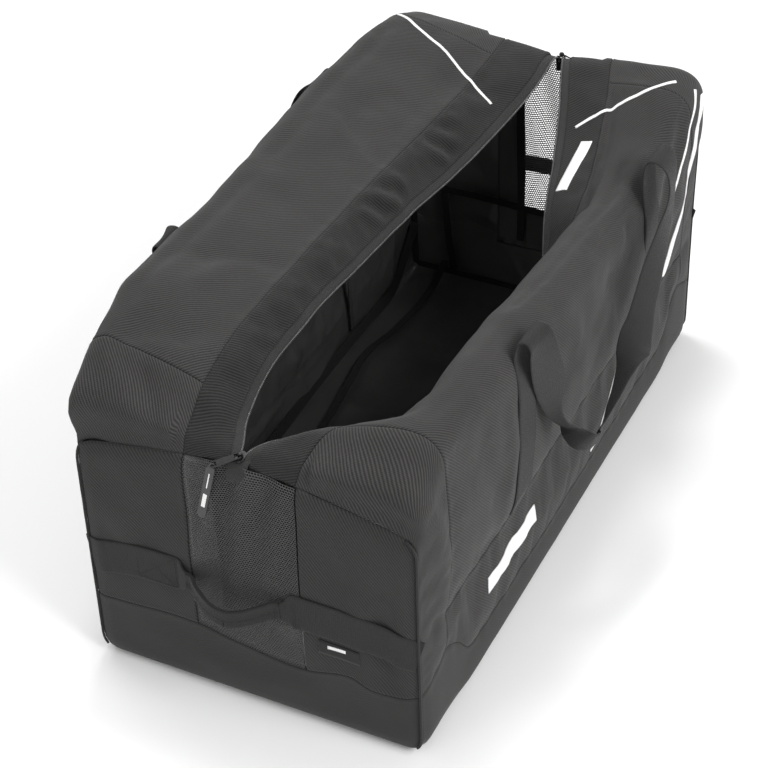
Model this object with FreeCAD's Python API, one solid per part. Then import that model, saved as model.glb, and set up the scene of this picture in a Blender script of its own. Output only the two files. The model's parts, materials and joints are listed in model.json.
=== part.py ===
"""Large carry bag for ice hockey equipment, standing open.

Frame: X along the bag, Y across it, Z up. The origin is at the middle of the
underside. The front, with the print, is -Y. All sizes are in millimetres.
"""
import FreeCAD, Part
import math
import os

# ---- driving dimensions --------------------------------------------------
LENGTH = 940.0          # outside, end to end
WIDTH = 460.0           # outside, side to side
SKIN = 3.0              # one padded layer of coated fabric
END_SKIN = 3.0          # the same, across the ends
VENT_HALF = 75.0        # half the width of the mesh vent and of the two zip bands
BAND_TO_COIL = 11.0     # tape showing between a zip band and its coil
TAPE = 1.2              # thickness of the zip tape
COIL = 3.2              # side of the coil's section
COIL_GAP = 1.0          # between the two coils where the zip is closed
WEB_WIDTH = 50.0        # webbing of the carry handles and end straps
WEB = 2.4               # thickness of the webbing
WEB_GAP = 0.4           # webbing clear of the panel under it
STRAP_X = (-190.0, 240.0)       # middles of the two sewn strips on a long side
STRAP_TOP = 436.0
PRINT_BAND = (65.0, 190.0)      # lower side band: boot seam and upper seam
END_BOOT = 104.0        # height of the boot on the ends
CORNER_BOOT = 130.0     # height of the boot where it cups each corner
END_STRAP = {"left": (165.0, 219.0), "right": (197.0, 251.0)}   # edges of the strap on an end
GRAB_Y = (-64.0, 94.0)          # where the grab handle leaves its stitched patches
GRAB_OUT = 13.0         # the grab handle's roots stand this far off the end
GRAB_HALF = 13.0        # half the height of the folded grab handle
HINGE_Y = 242.0         # the carry handles fold over along this line
HINGE_Z = 455.0
YOKE = 405.0            # the end yokes start this far from the middle
BINDING = 9.0           # width of the bound seams inside
SLIDER = (17.0, 11.0)   # zip slider, long and wide
PLATE = 1.6             # thickness of the slider's plates
PLATE_GAP = 5.2         # between the slider's two plates
LINK = 36.0             # pull link, from its pin to the bar that holds the tab
BAR = 1.6               # the link's end bar, which the tab's ring goes round
TAB = (88.0, 11.0, 2.4)         # moulded pull tab
PULL_TURN = {"left": 57.0, "right": 45.0}      # degrees that a pull lies off the line of the zip
LUG_HIGH = 2.5          # middle of the slider's eye above its top plate
TAB_LEAN = 14.0         # degrees that a hanging tab lies off plumb
LINK_DROOP = 11.0       # degrees that a pull link dips below its slider's plates
SLIDER_X = {"left": -459.0, "right": 458.0}

HALF_L = LENGTH / 2.0
HALF_W = WIDTH / 2.0
INNER_END = HALF_L - END_SKIN


def vec(x, y, z):
    return FreeCAD.Vector(x, y, z)


def save(shape, node):
    """Write one sub-part and say how big it is."""
    if not shape.isValid() or shape.Volume <= 0.0:
        raise ValueError(node + " is not a sound solid")
    shape.exportStep("parts/" + node + ".step")
    box = shape.BoundBox
    print("%-24s %8.1f cm3  z %.0f..%.0f" % (node, shape.Volume / 1000.0, box.ZMin, box.ZMax))


def along(x, knots):
    """Straight-line value at x of a rail given as (x, value) knots."""
    if x <= knots[0][0]:
        return knots[0][1]
    for (x0, a), (x1, b) in zip(knots, knots[1:]):
        if x <= x1:
            return a + (b - a) * (x - x0) / (x1 - x0)
    return knots[-1][1]


# ---- solids from facets ----------------------------------------------------
def facet(points):
    wire = Part.makePolygon(points + [points[0]])
    return Part.Face(wire)


def solid_of(faces):
    shell = Part.makeShell(faces)
    shell.sewShape()
    solid = Part.makeSolid(shell)
    if solid.Volume < 0.0:
        solid.reverse()
    return solid.removeSplitter()


def sheet(triangles, outer, inner):
    """Closed sheet: outer and inner triangles, and a wall round their border."""
    faces = []
    edges = {}
    for tri in triangles:
        faces.append(facet([outer[key] for key in tri]))
        faces.append(facet([inner[key] for key in reversed(tri)]))
        for a, b in zip(tri, tri[1:] + tri[:1]):
            edges[(a, b)] = True
    for a, b in edges:
        if (b, a) in edges:
            continue
        if a < b:
            walls = [[outer[a], inner[a], inner[b]], [outer[a], inner[b], outer[b]]]
        else:
            walls = [[outer[a], inner[a], outer[b]], [inner[a], inner[b], outer[b]]]
        faces.extend(facet(wall) for wall in walls)
    return solid_of(faces)


def cells(rows, columns):
    """The triangles of a patch between neighbouring rows and columns."""
    triangles = []
    for r0, r1 in zip(rows, rows[1:]):
        for c0, c1 in zip(columns, columns[1:]):
            triangles.append(((r0, c0), (r1, c0), (r1, c1)))
            triangles.append(((r0, c0), (r1, c1), (r0, c1)))
    return triangles


def ribbon(centres, widths, thickness):
    """A strip of webbing: centre points, half-width vectors, one thickness."""
    outer = {}
    inner = {}
    count = len(centres)
    for i, (centre, half) in enumerate(zip(centres, widths)):
        ahead = centres[min(i + 1, count - 1)] - centres[max(i - 1, 0)]
        normal = ahead.cross(half)
        normal.normalize()
        lift = normal * (thickness / 2.0)
        for side, sign in (("a", -1.0), ("b", 1.0)):
            edge = centre + half * sign
            outer[(side, i)] = edge + lift
            inner[(side, i)] = edge - lift
    return sheet(cells(["a", "b"], list(range(count))), outer, inner)


# ---- the lofted shell ------------------------------------------------------
# Each rail runs the length of the bag and holds (x, y) and (x, z) knots. The
# front of the mouth has slumped: over most of its length it folds inward and
# hangs, and towards the right end it lies nearly flat.
FLAT = [(0, 0)]
BOOT_EDGE = [(-467, END_BOOT), (-405, CORNER_BOOT), (-300, PRINT_BAND[0]),
             (320, PRINT_BAND[0]), (405, CORNER_BOOT), (467, END_BOOT)]
RAILS = {
    "back_zip": (
        [(-467, 14), (-455, 14), (-405, 31), (-300, 42), (60, 40), (200, 30), (320, 14),
         (405, -4), (440, -5), (459, -6), (467, -6)],
        [(-467, 393), (-440, 404), (-405, 410), (-300, 428), (-100, 420), (60, 408),
         (200, 398), (320, 411), (405, 441), (440, 449), (467, 430)]),
    "back_seam": (
        [(-467, 75), (320, 68), (405, 62), (440, 60), (467, 66)],
        [(-467, 384), (-440, 412), (-405, 443), (-300, 463), (-100, 461), (60, 454),
         (200, 443), (320, 438), (405, 450), (440, 452), (467, 420)]),
    "back_shoulder": (
        [(0, 230)],
        [(-467, 357), (-440, 424), (-405, 464), (-300, 490), (-100, 498), (200, 498),
         (320, 492), (405, 478), (440, 456), (467, 388)]),
    "back_line": ([(0, 230)], [(0, PRINT_BAND[1])]),
    "back_boot": ([(0, 230)], BOOT_EDGE),
    "back_foot": ([(0, 230)], FLAT),
    "front_foot": ([(0, -230)], FLAT),
    "front_boot": ([(0, -230)], BOOT_EDGE),
    "front_line": ([(0, -230)], [(0, PRINT_BAND[1])]),
    "front_shoulder": (
        [(0, -230)],
        [(-467, 357), (-440, 420), (-405, 458), (-300, 464), (-100, 452), (60, 432),
         (200, 414), (320, 420), (405, 446), (440, 452), (467, 388)]),
    "front_fold": (
        [(-467, -150), (-405, -165), (-300, -176), (60, -180), (200, -190), (320, -180),
         (405, -165), (467, -150)],
        [(-467, 370), (-440, 424), (-405, 456), (-300, 452), (-100, 442), (60, 430),
         (200, 418), (320, 425), (405, 450), (440, 456), (467, 404)]),
    "front_seam": (
        [(-467, -75), (-440, -82), (-405, -100), (-300, -168), (60, -164), (200, -160),
         (320, -138), (405, -116), (440, -104), (467, -94)],
        [(-467, 384), (-440, 414), (-405, 440), (-300, 352), (60, 336), (200, 392),
         (320, 420), (405, 447), (440, 453), (467, 420)]),
    "front_zip": (
        [(-467, -14), (-455, -14), (-405, -62), (-300, -160), (60, -148), (200, -116),
         (320, -84), (405, -54), (440, -42), (459, -34), (467, -34)],
        [(-467, 393), (-440, 404), (-405, 414), (-300, 286), (60, 272), (200, 376),
         (320, 404), (405, 440), (440, 449), (467, 430)]),
}
ORDER = list(RAILS)
STATIONS = [-INNER_END, -455, -440, -YOKE, -300, -100, 60, 200, 320, YOKE, 440, 459, INNER_END]


def rail_point(rail, x):
    ys, zs = RAILS[rail]
    return along(x, ys), along(x, zs)


def section_offsets(section, depth):
    """Points of an open section moved inward by depth, with mitred corners."""
    moved = []
    for i, (y, z) in enumerate(section):
        normals = []
        for j in (i - 1, i):
            if 0 <= j < len(section) - 1:
                dy = section[j + 1][0] - section[j][0]
                dz = section[j + 1][1] - section[j][1]
                size = math.hypot(dy, dz)
                normals.append((-dz / size, dy / size))
        ny = sum(n[0] for n in normals)
        nz = sum(n[1] for n in normals)
        size = math.hypot(ny, nz)
        ny, nz = ny / size, nz / size
        lean = max(0.6, ny * normals[0][0] + nz * normals[0][1])
        moved.append((y - ny * depth / lean, z - nz * depth / lean))
    return moved


def shell_points():
    outer = {}
    inner = {}
    for x in STATIONS:
        section = [rail_point(rail, x) for rail in ORDER]
        for rail, (y, z), (yi, zi) in zip(ORDER, section, section_offsets(section, SKIN)):
            outer[(rail, x)] = vec(x, y, z)
            inner[(rail, x)] = vec(x, yi, zi)
    return outer, inner


def between(low, high):
    return [x for x in STATIONS if low - 1.0 <= x <= high + 1.0]


def rails_from(first, last):
    return ORDER[ORDER.index(first):ORDER.index(last) + 1]


def cloth_panels():
    """The long panels and the four yokes, which share their seam points."""
    outer, inner = shell_points()
    middle = between(-YOKE, YOKE)
    whole = between(-HALF_L, HALF_L)
    panels = {
        "zip_band_back": cells(rails_from("back_zip", "back_seam"), whole),
        "top_panel_back": cells(rails_from("back_seam", "back_shoulder"), middle),
        "side_panel_back": cells(rails_from("back_shoulder", "back_line"), middle),
        "print_band_back": cells(rails_from("back_line", "back_boot"), middle),
        "boot_band_back": cells(rails_from("back_boot", "back_foot"), whole),
        "bottom_panel": cells(rails_from("back_foot", "front_foot"), whole),
        "boot_band_front": cells(rails_from("front_foot", "front_boot"), whole),
        "print_band_front": cells(rails_from("front_boot", "front_line"), middle),
        "side_panel_front": cells(rails_from("front_line", "front_shoulder"), middle),
        "top_panel_front": cells(rails_from("front_shoulder", "front_seam"), middle),
        "zip_band_front": cells(rails_from("front_seam", "front_zip"), whole),
    }
    for side, low, high in (("left", -HALF_L, -YOKE), ("right", YOKE, HALF_L)):
        span = between(low, high)
        panels["yoke_" + side + "_back"] = cells(rails_from("back_seam", "back_boot"), span)
        panels["yoke_" + side + "_front"] = cells(rails_from("front_boot", "front_seam"), span)
    return {node: sheet(triangles, outer, inner) for node, triangles in panels.items()}


# ---- ends ------------------------------------------------------------------
def plate(outline, x, thickness):
    """A flat piece across the bag: (y, z) outline, from x to x + thickness."""
    points = [vec(x, y, z) for y, z in outline]
    return facet(points).extrude(vec(thickness, 0, 0))


def arch(x, low, high):
    """The end's top edge from y = low to y = high, as points going up in y."""
    edge = [rail_point(rail, x) for rail in reversed(ORDER)
            if rail not in ("front_foot", "front_boot", "front_line", "back_line",
                            "back_boot", "back_foot")]
    edge.sort()
    inside = [p for p in edge if low < p[0] < high]
    return [(low, along(low, edge))] + inside + [(high, along(high, edge))]


def end_panels():
    parts = {}
    for side, sign in (("left", -1.0), ("right", 1.0)):
        face = sign * INNER_END
        skin = sign * END_SKIN
        low = END_BOOT
        boot = [(-HALF_W, 0), (HALF_W, 0), (HALF_W, low), (-HALF_W, low)]
        parts["boot_band_" + side] = plate(boot, face, skin)
        columns = (("end_panel_%s_front", -HALF_W, -VENT_HALF),
                   ("end_mesh_%s", -VENT_HALF, VENT_HALF),
                   ("end_panel_%s_back", VENT_HALF, HALF_W))
        for name, y0, y1 in columns:
            top = arch(face, y0, y1)
            outline = [(y1, low), (y0, low)] + top
            parts[name % side] = plate(outline, face, skin)
    return parts


# ---- bound seams inside ----------------------------------------------------
def seam_tapes():
    """Binding tape folded over the seams: a frame at each end, and two long runs."""
    parts = {}
    clear = 0.4
    for side, sign in (("left", -1.0), ("right", 1.0)):
        x = sign * (INNER_END - clear)
        depth = -sign * 2.0
        inset = SKIN + clear
        wide = HALF_W - inset
        top = 340.0
        frame = [(-wide, inset), (wide, inset), (wide, top), (-wide, top)]
        slim = BINDING
        hole = [(-wide + slim, inset + slim), (wide - slim, inset + slim),
                (wide - slim, top + 1.0), (-wide + slim, top + 1.0)]
        parts["seam_tape_" + side] = plate(frame, x, depth).cut(plate(hole, x, depth))
    run = 2.0 * (INNER_END - clear - 4.0)
    for side, sign in (("front", -1.0), ("back", 1.0)):
        y = sign * (HALF_W - SKIN - clear - 2.0)
        bar = Part.makeBox(run, 2.0, BINDING, vec(-run / 2.0, min(y, y + 2.0 * sign), SKIN + clear))
        parts["seam_tape_" + side] = bar
    return parts


# ---- zip -------------------------------------------------------------------
def zip_line(which, x):
    """Edge of the zip band and the unit step from it across to the coil."""
    y, z = rail_point(which + "_zip", x)
    y0, z0 = rail_point(which + "_seam", x)
    size = math.hypot(y - y0, z - z0)
    return y, z, (y - y0) / size, (z - z0) / size


def zip_strip(which, reach0, reach1, above, below):
    """A strip that follows the mouth, between two reaches from the zip band."""
    outer = {}
    inner = {}
    turn = 1.0 if which == "front" else -1.0
    for x in STATIONS:
        y, z, dy, dz = zip_line(which, x)
        ny, nz = -dz * turn, dy * turn
        for row, reach in (("a", reach0), ("b", reach1)):
            py = y + dy * reach
            pz = z + dz * reach
            outer[(row, x)] = vec(x, py + ny * above, pz + nz * above)
            inner[(row, x)] = vec(x, py - ny * below, pz - nz * below)
    rows = ["a", "b"] if which == "back" else ["b", "a"]
    return sheet(cells(rows, STATIONS), outer, inner)


def zip_parts():
    parts = {}
    middle = SKIN / 2.0
    for which in ("back", "front"):
        low = middle + TAPE / 2.0
        high = TAPE / 2.0 - middle
        parts["zip_tape_" + which] = zip_strip(which, 0.3, BAND_TO_COIL - 0.3, high, low)
        low = middle + COIL / 2.0
        high = COIL / 2.0 - middle
        parts["zip_coil_" + which] = zip_strip(which, BAND_TO_COIL, BAND_TO_COIL + COIL - COIL_GAP,
                                               high, low)
    return parts


# ---- webbing ---------------------------------------------------------------
def mirrored(shape):
    """The same piece on the back."""
    return shape.mirror(vec(0, 0, 0), vec(0, 1, 0))


def sewn_strips():
    """Flat webbing up each long side from the print band; its top end stands free."""
    parts = {}
    y = -(HALF_W + WEB_GAP + WEB / 2.0)
    rise = [(y, PRINT_BAND[1] + 3.0), (y, STRAP_TOP), (y - 1.5, STRAP_TOP + 9.0),
            (y - 4.5, HINGE_Z - 4.5), (-HINGE_Y + 1.9, HINGE_Z - 2.7)]
    half = vec(WEB_WIDTH / 2.0, 0, 0)
    for side, x in zip(("left", "right"), STRAP_X):
        strip = ribbon([vec(x, py, pz) for py, pz in rise], [half] * len(rise), WEB)
        parts["strip_front_" + side] = strip
        parts["strip_back_" + side] = mirrored(strip)
    return parts


def carry_handle():
    """A loop that falls outward from the fold line, twists once each way and stands off the side."""
    left, right = STRAP_X
    wide = WEB_WIDTH / 2.0
    # Middle of the webbing, then half of its width towards the loop's inner edge.
    route = [
        (vec(left, -HINGE_Y, HINGE_Z), vec(wide, 0, 0)),
        (vec(left, -HINGE_Y - 12, HINGE_Z - 2), vec(wide, 0, 0)),
        (vec(left + 6, -261, 436), vec(24, -7, 3)),
        (vec(left + 22, -260, 400), vec(22, -10, 7)),
        (vec(left + 42, -258, 360), vec(22, -10, 7)),
        (vec(left + 59, -257, 326), vec(24, -5, 3)),
        (vec(left + 69, -259, 300), vec(23, 2, -6)),
        (vec(left + 75, -270, 273), vec(13, 12, -17)),
        (vec(left + 85, -289, 250), vec(5, 12, -21)),
        (vec(left + 113, -299, 250), vec(17, 6, -17)),
        (vec(left + 152, -300, 266), vec(18, 11, -13)),
        (vec(left + 184, -299, 277), vec(17, 14, -11)),
        (vec(left + 214, -297, 290), vec(12, 21, -1)),
        (vec(left + 246, -293, 297), vec(-8, 19, 13)),
        (vec(right - 137, -286, 321), vec(-18, 10, 13)),
        (vec(right - 100, -282, 347), vec(-16, 8, 17)),
        (vec(right - 56, -279, 380), vec(-18, 2, 17)),
        (vec(right - 26, -276, 410), vec(-20, -3, 15)),
        (vec(right - 8, -268, 436), vec(-24, -2, 7)),
        (vec(right, -HINGE_Y - 12, HINGE_Z - 2), vec(-wide, 0, 0)),
        (vec(right, -HINGE_Y, HINGE_Z), vec(-wide, 0, 0)),
    ]
    return ribbon([centre for centre, half in route], [half for centre, half in route], WEB)


def end_webbing(side, sign):
    """The two sewn ends of the strap across an end, and the grab handle between."""
    parts = {}
    low, high = END_STRAP[side]
    mid = (low + high) / 2.0
    tall = (high - low) / 2.0
    flat = HALF_L + WEB_GAP + WEB / 2.0
    out = HALF_L + GRAB_OUT
    front, back = GRAB_Y
    for name, y, step in (("front", front, 1.0), ("back", back, -1.0)):
        outer_end = -step * (HALF_W - 2.0)
        centres = [vec(sign * flat, outer_end, mid), vec(sign * flat, y, mid),
                   vec(sign * (flat + 4.0), y + step * 5.0, mid),
                   vec(sign * out, y + step * 11.0, mid), vec(sign * out, y + step * 15.0, mid)]
        halves = [vec(0, 0, tall), vec(0, 0, tall), vec(0, 0, tall * 0.75),
                  vec(0, 0, GRAB_HALF), vec(0, 0, GRAB_HALF)]
        parts["end_strap_%s_%s" % (side, name)] = ribbon(centres, halves, WEB)
    start = front + 15.4
    end = back - 15.4
    span = end - start
    loop = [(0.0, 0.0, 0.0), (0.04, 0.0, 0.0), (0.16, 10.0, 4.0), (0.34, 21.0, 12.0),
            (0.5, 25.0, 16.0), (0.66, 22.0, 13.0), (0.84, 11.0, 5.0), (0.96, 0.0, 0.0),
            (1.0, 0.0, 0.0)]
    centres = [vec(sign * (out + push), start + span * t, mid - droop) for t, push, droop in loop]
    parts["grab_handle_" + side] = ribbon(centres, [vec(0, 0, GRAB_HALF)] * len(loop), 4.0)
    return parts


# ---- zip hardware ----------------------------------------------------------
def coil_middle(x):
    """Middle of the closed zip at x."""
    reach = BAND_TO_COIL + COIL / 2.0
    ends = []
    for which in ("back", "front"):
        y, z, dy, dz = zip_line(which, x)
        ends.append((y + dy * reach, z + dz * reach - SKIN / 2.0))
    return (ends[0][0] + ends[1][0]) / 2.0, (ends[0][1] + ends[1][1]) / 2.0


def lozenge(length, width, height, z):
    """A plate with rounded ends, centred on the origin."""
    radius = width / 2.0
    straight = length / 2.0 - radius
    a = vec(-straight, -radius, z)
    b = vec(straight, -radius, z)
    c = vec(straight, radius, z)
    d = vec(-straight, radius, z)
    edges = [Part.makeLine(a, b), Part.Arc(b, vec(straight + radius, 0, z), c).toShape(),
             Part.makeLine(c, d), Part.Arc(d, vec(-straight - radius, 0, z), a).toShape()]
    return Part.Face(Part.Wire(edges)).extrude(vec(0, 0, height))


def slider_shape(turn):
    """Two plates, the post that parts the coils, and an eye. The mouth is at +X."""
    half = PLATE_GAP / 2.0
    length, width = SLIDER
    top = lozenge(length, width, PLATE, half)
    low = lozenge(length, width, PLATE, -half - PLATE)
    post = Part.makeBox(3.0, 1.4, PLATE_GAP, vec(length / 2.0 - 4.0, -0.7, -half))
    lug = Part.makeCylinder(3.4, 2.6, vec(0, 1.3, half + PLATE + LUG_HIGH), vec(0, -1, 0))
    eye = Part.makeCylinder(1.5, 6.0, vec(0, 3.0, half + PLATE + LUG_HIGH), vec(0, -1, 0))
    for piece in (lug, eye):
        piece.rotate(vec(0, 0, 0), vec(0, 0, 1), -turn)
    keep = Part.makeBox(40, 40, 40, vec(-20, -20, half + PLATE * 0.5))
    body = top.fuse(low).fuse(post).fuse(lug.common(keep)).cut(eye)
    return body.removeSplitter()


def link_shape():
    """Flat link along -X from its hinge pin, with an eye for the tab."""
    thick = 1.5
    cheek = 1.3
    wide = 9.2
    inside = wide / 2.0 - cheek
    pin = Part.makeCylinder(1.1, wide - 1.0, vec(0, -(wide - 1.0) / 2.0, 0), vec(0, 1, 0))
    body = pin
    for y in (-wide / 2.0, inside):
        body = body.fuse(Part.makeBox(9.0, cheek, 2.2, vec(-7.9, y, -1.1)))
    tip = LINK + BAR / 2.0
    blade = Part.makeBox(tip - 7.0, wide, thick, vec(-tip, -wide / 2.0, -thick / 2.0))
    slot = Part.makeBox(5.4, 5.8, thick * 2.0, vec(-tip + BAR, -2.9, -thick))
    return body.fuse(blade).cut(slot).removeSplitter()


def tab_strip():
    """Moulded tab hanging along -Z, its flat face along X."""
    length, width, thick = TAB
    strip = lozenge(length, width, thick, -thick / 2.0)
    strip.rotate(vec(0, 0, 0), vec(0, 1, 0), 90.0)
    strip.translate(vec(0, 0, -length / 2.0 - 2.6))
    return strip


def zip_hardware(side):
    """Slider, link and tab. Each is made at its hinge and then put in place."""
    sign = -1.0 if side == "left" else 1.0
    x = SLIDER_X[side]
    span = 6.0
    y, z = coil_middle(x)
    rise = coil_middle(x - sign * span)[1] - coil_middle(x + sign * span)[1]
    tilt = math.degrees(math.atan2(rise, 2.0 * span))
    origin = vec(0, 0, 0)
    up = vec(0, 0, 1)
    across = vec(0, 1, 0)
    facing = FreeCAD.Rotation(up, 0.0 if side == "left" else 180.0)
    lie = facing.multiply(FreeCAD.Rotation(across, -tilt))
    aim = lie.multiply(FreeCAD.Rotation(up, -PULL_TURN[side]))
    swing = aim.multiply(FreeCAD.Rotation(across, -LINK_DROOP))
    axis = aim.multVec(across)
    hinge = vec(x, y, z) + lie.multVec(vec(0, 0, PLATE_GAP / 2.0 + PLATE + LUG_HIGH))
    bar = hinge + swing.multVec(vec(-LINK, 0, 0))

    slider = slider_shape(PULL_TURN[side])
    slider.Placement = FreeCAD.Placement(vec(x, y, z), lie)
    link = link_shape()
    link.Placement = FreeCAD.Placement(hinge, swing)
    strip = tab_strip()
    strip.rotate(origin, vec(1, 0, 0), -sign * TAB_LEAN)
    strip.translate(bar)
    ring = Part.makeTorus(3.2, 0.7, bar - up, axis)
    tab = strip.fuse(ring).removeSplitter()
    slide = lie.multVec(vec(1, 0, 0))
    print("%s: slide along %.4f %.4f %.4f" % (side, slide.x, slide.y, slide.z))
    print("  link hinge %.5f %.5f %.5f" % tuple(hinge * 0.001))
    print("  tab hinge %.5f %.5f %.5f" % tuple(bar * 0.001))
    print("  hinge axis %.4f %.4f %.4f" % tuple(axis))
    return {"slider_" + side: slider, "pull_link_" + side: link, "pull_tab_" + side: tab}


def zip_end_tab(side, sign):
    """Folded webbing over the end of the zip, sewn to the end seam."""
    y, z = coil_middle(sign * INNER_END)
    low = z - 20.0
    flat = sign * (HALF_L + 0.2)
    outline = [(y - 13.0, low), (y + 13.0, low), (y + 13.0, z - 3.0), (y - 13.0, z - 3.0)]
    return plate(outline, flat, sign * 1.8)


def woven_label():
    """Small woven label below the left grab handle."""
    flat = -(HALF_L + 0.2)
    return plate([(-150, 136), (-96, 136), (-96, 158), (-150, 158)], flat, -0.8)


def main():
    os.makedirs("parts", exist_ok=True)
    parts = {}
    parts.update(cloth_panels())
    parts.update(end_panels())
    parts.update(seam_tapes())
    parts.update(zip_parts())
    parts.update(sewn_strips())
    parts["handle_front"] = carry_handle()
    parts["handle_back"] = mirrored(parts["handle_front"])
    for side, sign in (("left", -1.0), ("right", 1.0)):
        parts.update(end_webbing(side, sign))
        parts.update(zip_hardware(side))
        parts["zip_end_tab_" + side] = zip_end_tab(side, sign)
    parts["label_left"] = woven_label()
    for node, shape in parts.items():
        save(shape, node)


main()
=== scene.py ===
import json
import math
from functools import partial

import bpy
import numpy as np
from mathutils import Matrix, Vector


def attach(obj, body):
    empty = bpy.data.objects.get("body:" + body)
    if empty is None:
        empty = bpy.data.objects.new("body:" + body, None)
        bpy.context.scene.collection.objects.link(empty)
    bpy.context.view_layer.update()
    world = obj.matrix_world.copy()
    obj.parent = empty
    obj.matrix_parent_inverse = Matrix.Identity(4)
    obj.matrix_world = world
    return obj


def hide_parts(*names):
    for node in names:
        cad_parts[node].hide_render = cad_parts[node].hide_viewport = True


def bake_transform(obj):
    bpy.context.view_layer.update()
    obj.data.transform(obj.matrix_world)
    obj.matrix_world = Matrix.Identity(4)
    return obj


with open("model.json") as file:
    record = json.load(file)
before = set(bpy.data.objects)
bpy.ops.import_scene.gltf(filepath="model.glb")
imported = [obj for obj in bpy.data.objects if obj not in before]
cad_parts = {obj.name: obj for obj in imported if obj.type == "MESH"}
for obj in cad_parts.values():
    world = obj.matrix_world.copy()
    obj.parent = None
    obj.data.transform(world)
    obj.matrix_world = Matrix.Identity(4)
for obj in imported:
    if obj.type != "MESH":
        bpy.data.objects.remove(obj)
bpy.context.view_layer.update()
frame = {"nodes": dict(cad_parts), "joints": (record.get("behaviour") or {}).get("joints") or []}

# Lengths in the shape code are millimetres; meshes are made in metres.
MM = 0.001
END_X = 467.0
YOKE_X = 405.0
HALF_WIDE = 230.0
SKIN = 2.4
VENT_HALF = 75.0
BAG = "bag"
ENDS = (("left", -1.0), ("right", 1.0))


# ---- numbers and curves ----------------------------------------------------
def smoothstep(low, high, value):
    t = np.clip((value - low) / (high - low), 0.0, 1.0)
    return t * t * (3.0 - 2.0 * t)


def rail(knots, x):
    """Smooth curve through (x, value) knots that never swings past them."""
    k = np.array(knots, float)
    x = np.asarray(x, float)
    if len(k) == 1:
        return np.full(x.shape, k[0, 1])
    h = np.diff(k[:, 0])
    d = np.diff(k[:, 1]) / h
    m = np.zeros(len(k))
    m[0], m[-1] = d[0], d[-1]
    for i in range(1, len(k) - 1):
        if d[i - 1] * d[i] > 0.0:
            a, b = 2.0 * h[i] + h[i - 1], h[i] + 2.0 * h[i - 1]
            m[i] = (a + b) / (a / d[i - 1] + b / d[i])
    i = np.clip(np.searchsorted(k[:, 0], x, side="right") - 1, 0, len(k) - 2)
    t = np.clip((x - k[i, 0]) / h[i], 0.0, 1.0)
    return ((1 + 2 * t) * (1 - t) ** 2 * k[i, 1] + t * (1 - t) ** 2 * h[i] * m[i]
            + t * t * (3 - 2 * t) * k[i + 1, 1] + t * t * (t - 1) * h[i] * m[i + 1])


def spline(points, step):
    """Centripetal curve through 3-D points, sampled evenly at about step."""
    p = np.array(points, float)
    p = np.vstack([2 * p[0] - p[1], p, 2 * p[-1] - p[-2]])
    out = []
    for i in range(1, len(p) - 2):
        knots = [0.0]
        for j in range(i - 1, i + 2):
            knots.append(knots[-1] + max(np.linalg.norm(p[j + 1][:3] - p[j][:3]), 1e-6) ** 0.5)
        t0, t1, t2, t3 = knots
        for t in np.linspace(t1, t2, 24, endpoint=False):
            a1 = (t1 - t) / (t1 - t0) * p[i - 1] + (t - t0) / (t1 - t0) * p[i]
            a2 = (t2 - t) / (t2 - t1) * p[i] + (t - t1) / (t2 - t1) * p[i + 1]
            a3 = (t3 - t) / (t3 - t2) * p[i + 1] + (t - t2) / (t3 - t2) * p[i + 2]
            b1 = (t2 - t) / (t2 - t0) * a1 + (t - t0) / (t2 - t0) * a2
            b2 = (t3 - t) / (t3 - t1) * a2 + (t - t1) / (t3 - t1) * a3
            out.append((t2 - t) / (t2 - t1) * b1 + (t - t1) / (t2 - t1) * b2)
    out.append(p[-2])
    out = np.array(out)
    run = run_of(out[:, :3])
    count = max(2, int(round(run[-1] / step)) + 1)
    return at_run(np.linspace(0.0, run[-1], count), run, out)


def run_of(path):
    """Length along a path, up to each of its points."""
    return np.concatenate([[0.0], np.cumsum(np.linalg.norm(np.diff(path, axis=0), axis=1))])


def at_run(where, run, values):
    """Values of a path at given lengths along it."""
    return np.column_stack([np.interp(where, run, values[:, k]) for k in range(values.shape[1])])


def unit(v):
    return v / np.maximum(np.linalg.norm(v, axis=-1, keepdims=True), 1e-9)


def ripples(u, v, seed, waves, short, long):
    """Gentle irregular waves over (u, v), between about -1 and 1."""
    rng = np.random.default_rng(seed)
    total = np.zeros(np.broadcast(u, v).shape)
    for _ in range(waves):
        length = rng.uniform(short, long)
        angle = rng.uniform(0.0, math.pi)
        phase = rng.uniform(0.0, 2.0 * math.pi)
        k = 2.0 * math.pi / length
        total += np.sin(k * (u * math.cos(angle) + v * math.sin(angle)) + phase)
    return total / math.sqrt(waves) * 0.7


def creases(u, v, seed, count, box, reach, wide):
    """Short sharp folds scattered over a box of (u, v): ridges and valleys."""
    rng = np.random.default_rng(seed)
    u0, u1, v0, v1 = box
    total = np.zeros(np.broadcast(u, v).shape)
    for _ in range(count):
        cu, cv = rng.uniform(u0, u1), rng.uniform(v0, v1)
        angle = rng.uniform(0.0, math.pi)
        size = rng.uniform(*reach)
        w = rng.uniform(*wide)
        sign = rng.choice([-0.6, 1.0])
        du, dv = u - cu, v - cv
        a = du * math.cos(angle) + dv * math.sin(angle)
        b = dv * math.cos(angle) - du * math.sin(angle) + 0.0016 * a * a
        total += sign * np.exp(-np.abs(b) / w) * np.exp(-(a / size) ** 2)
    return total


# ---- materials ---------------------------------------------------------------
def new_material(name):
    mat = bpy.data.materials.new(name)
    mat.use_nodes = True
    tree = mat.node_tree
    shader = tree.nodes["Principled BSDF"]
    return mat, tree, shader


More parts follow.
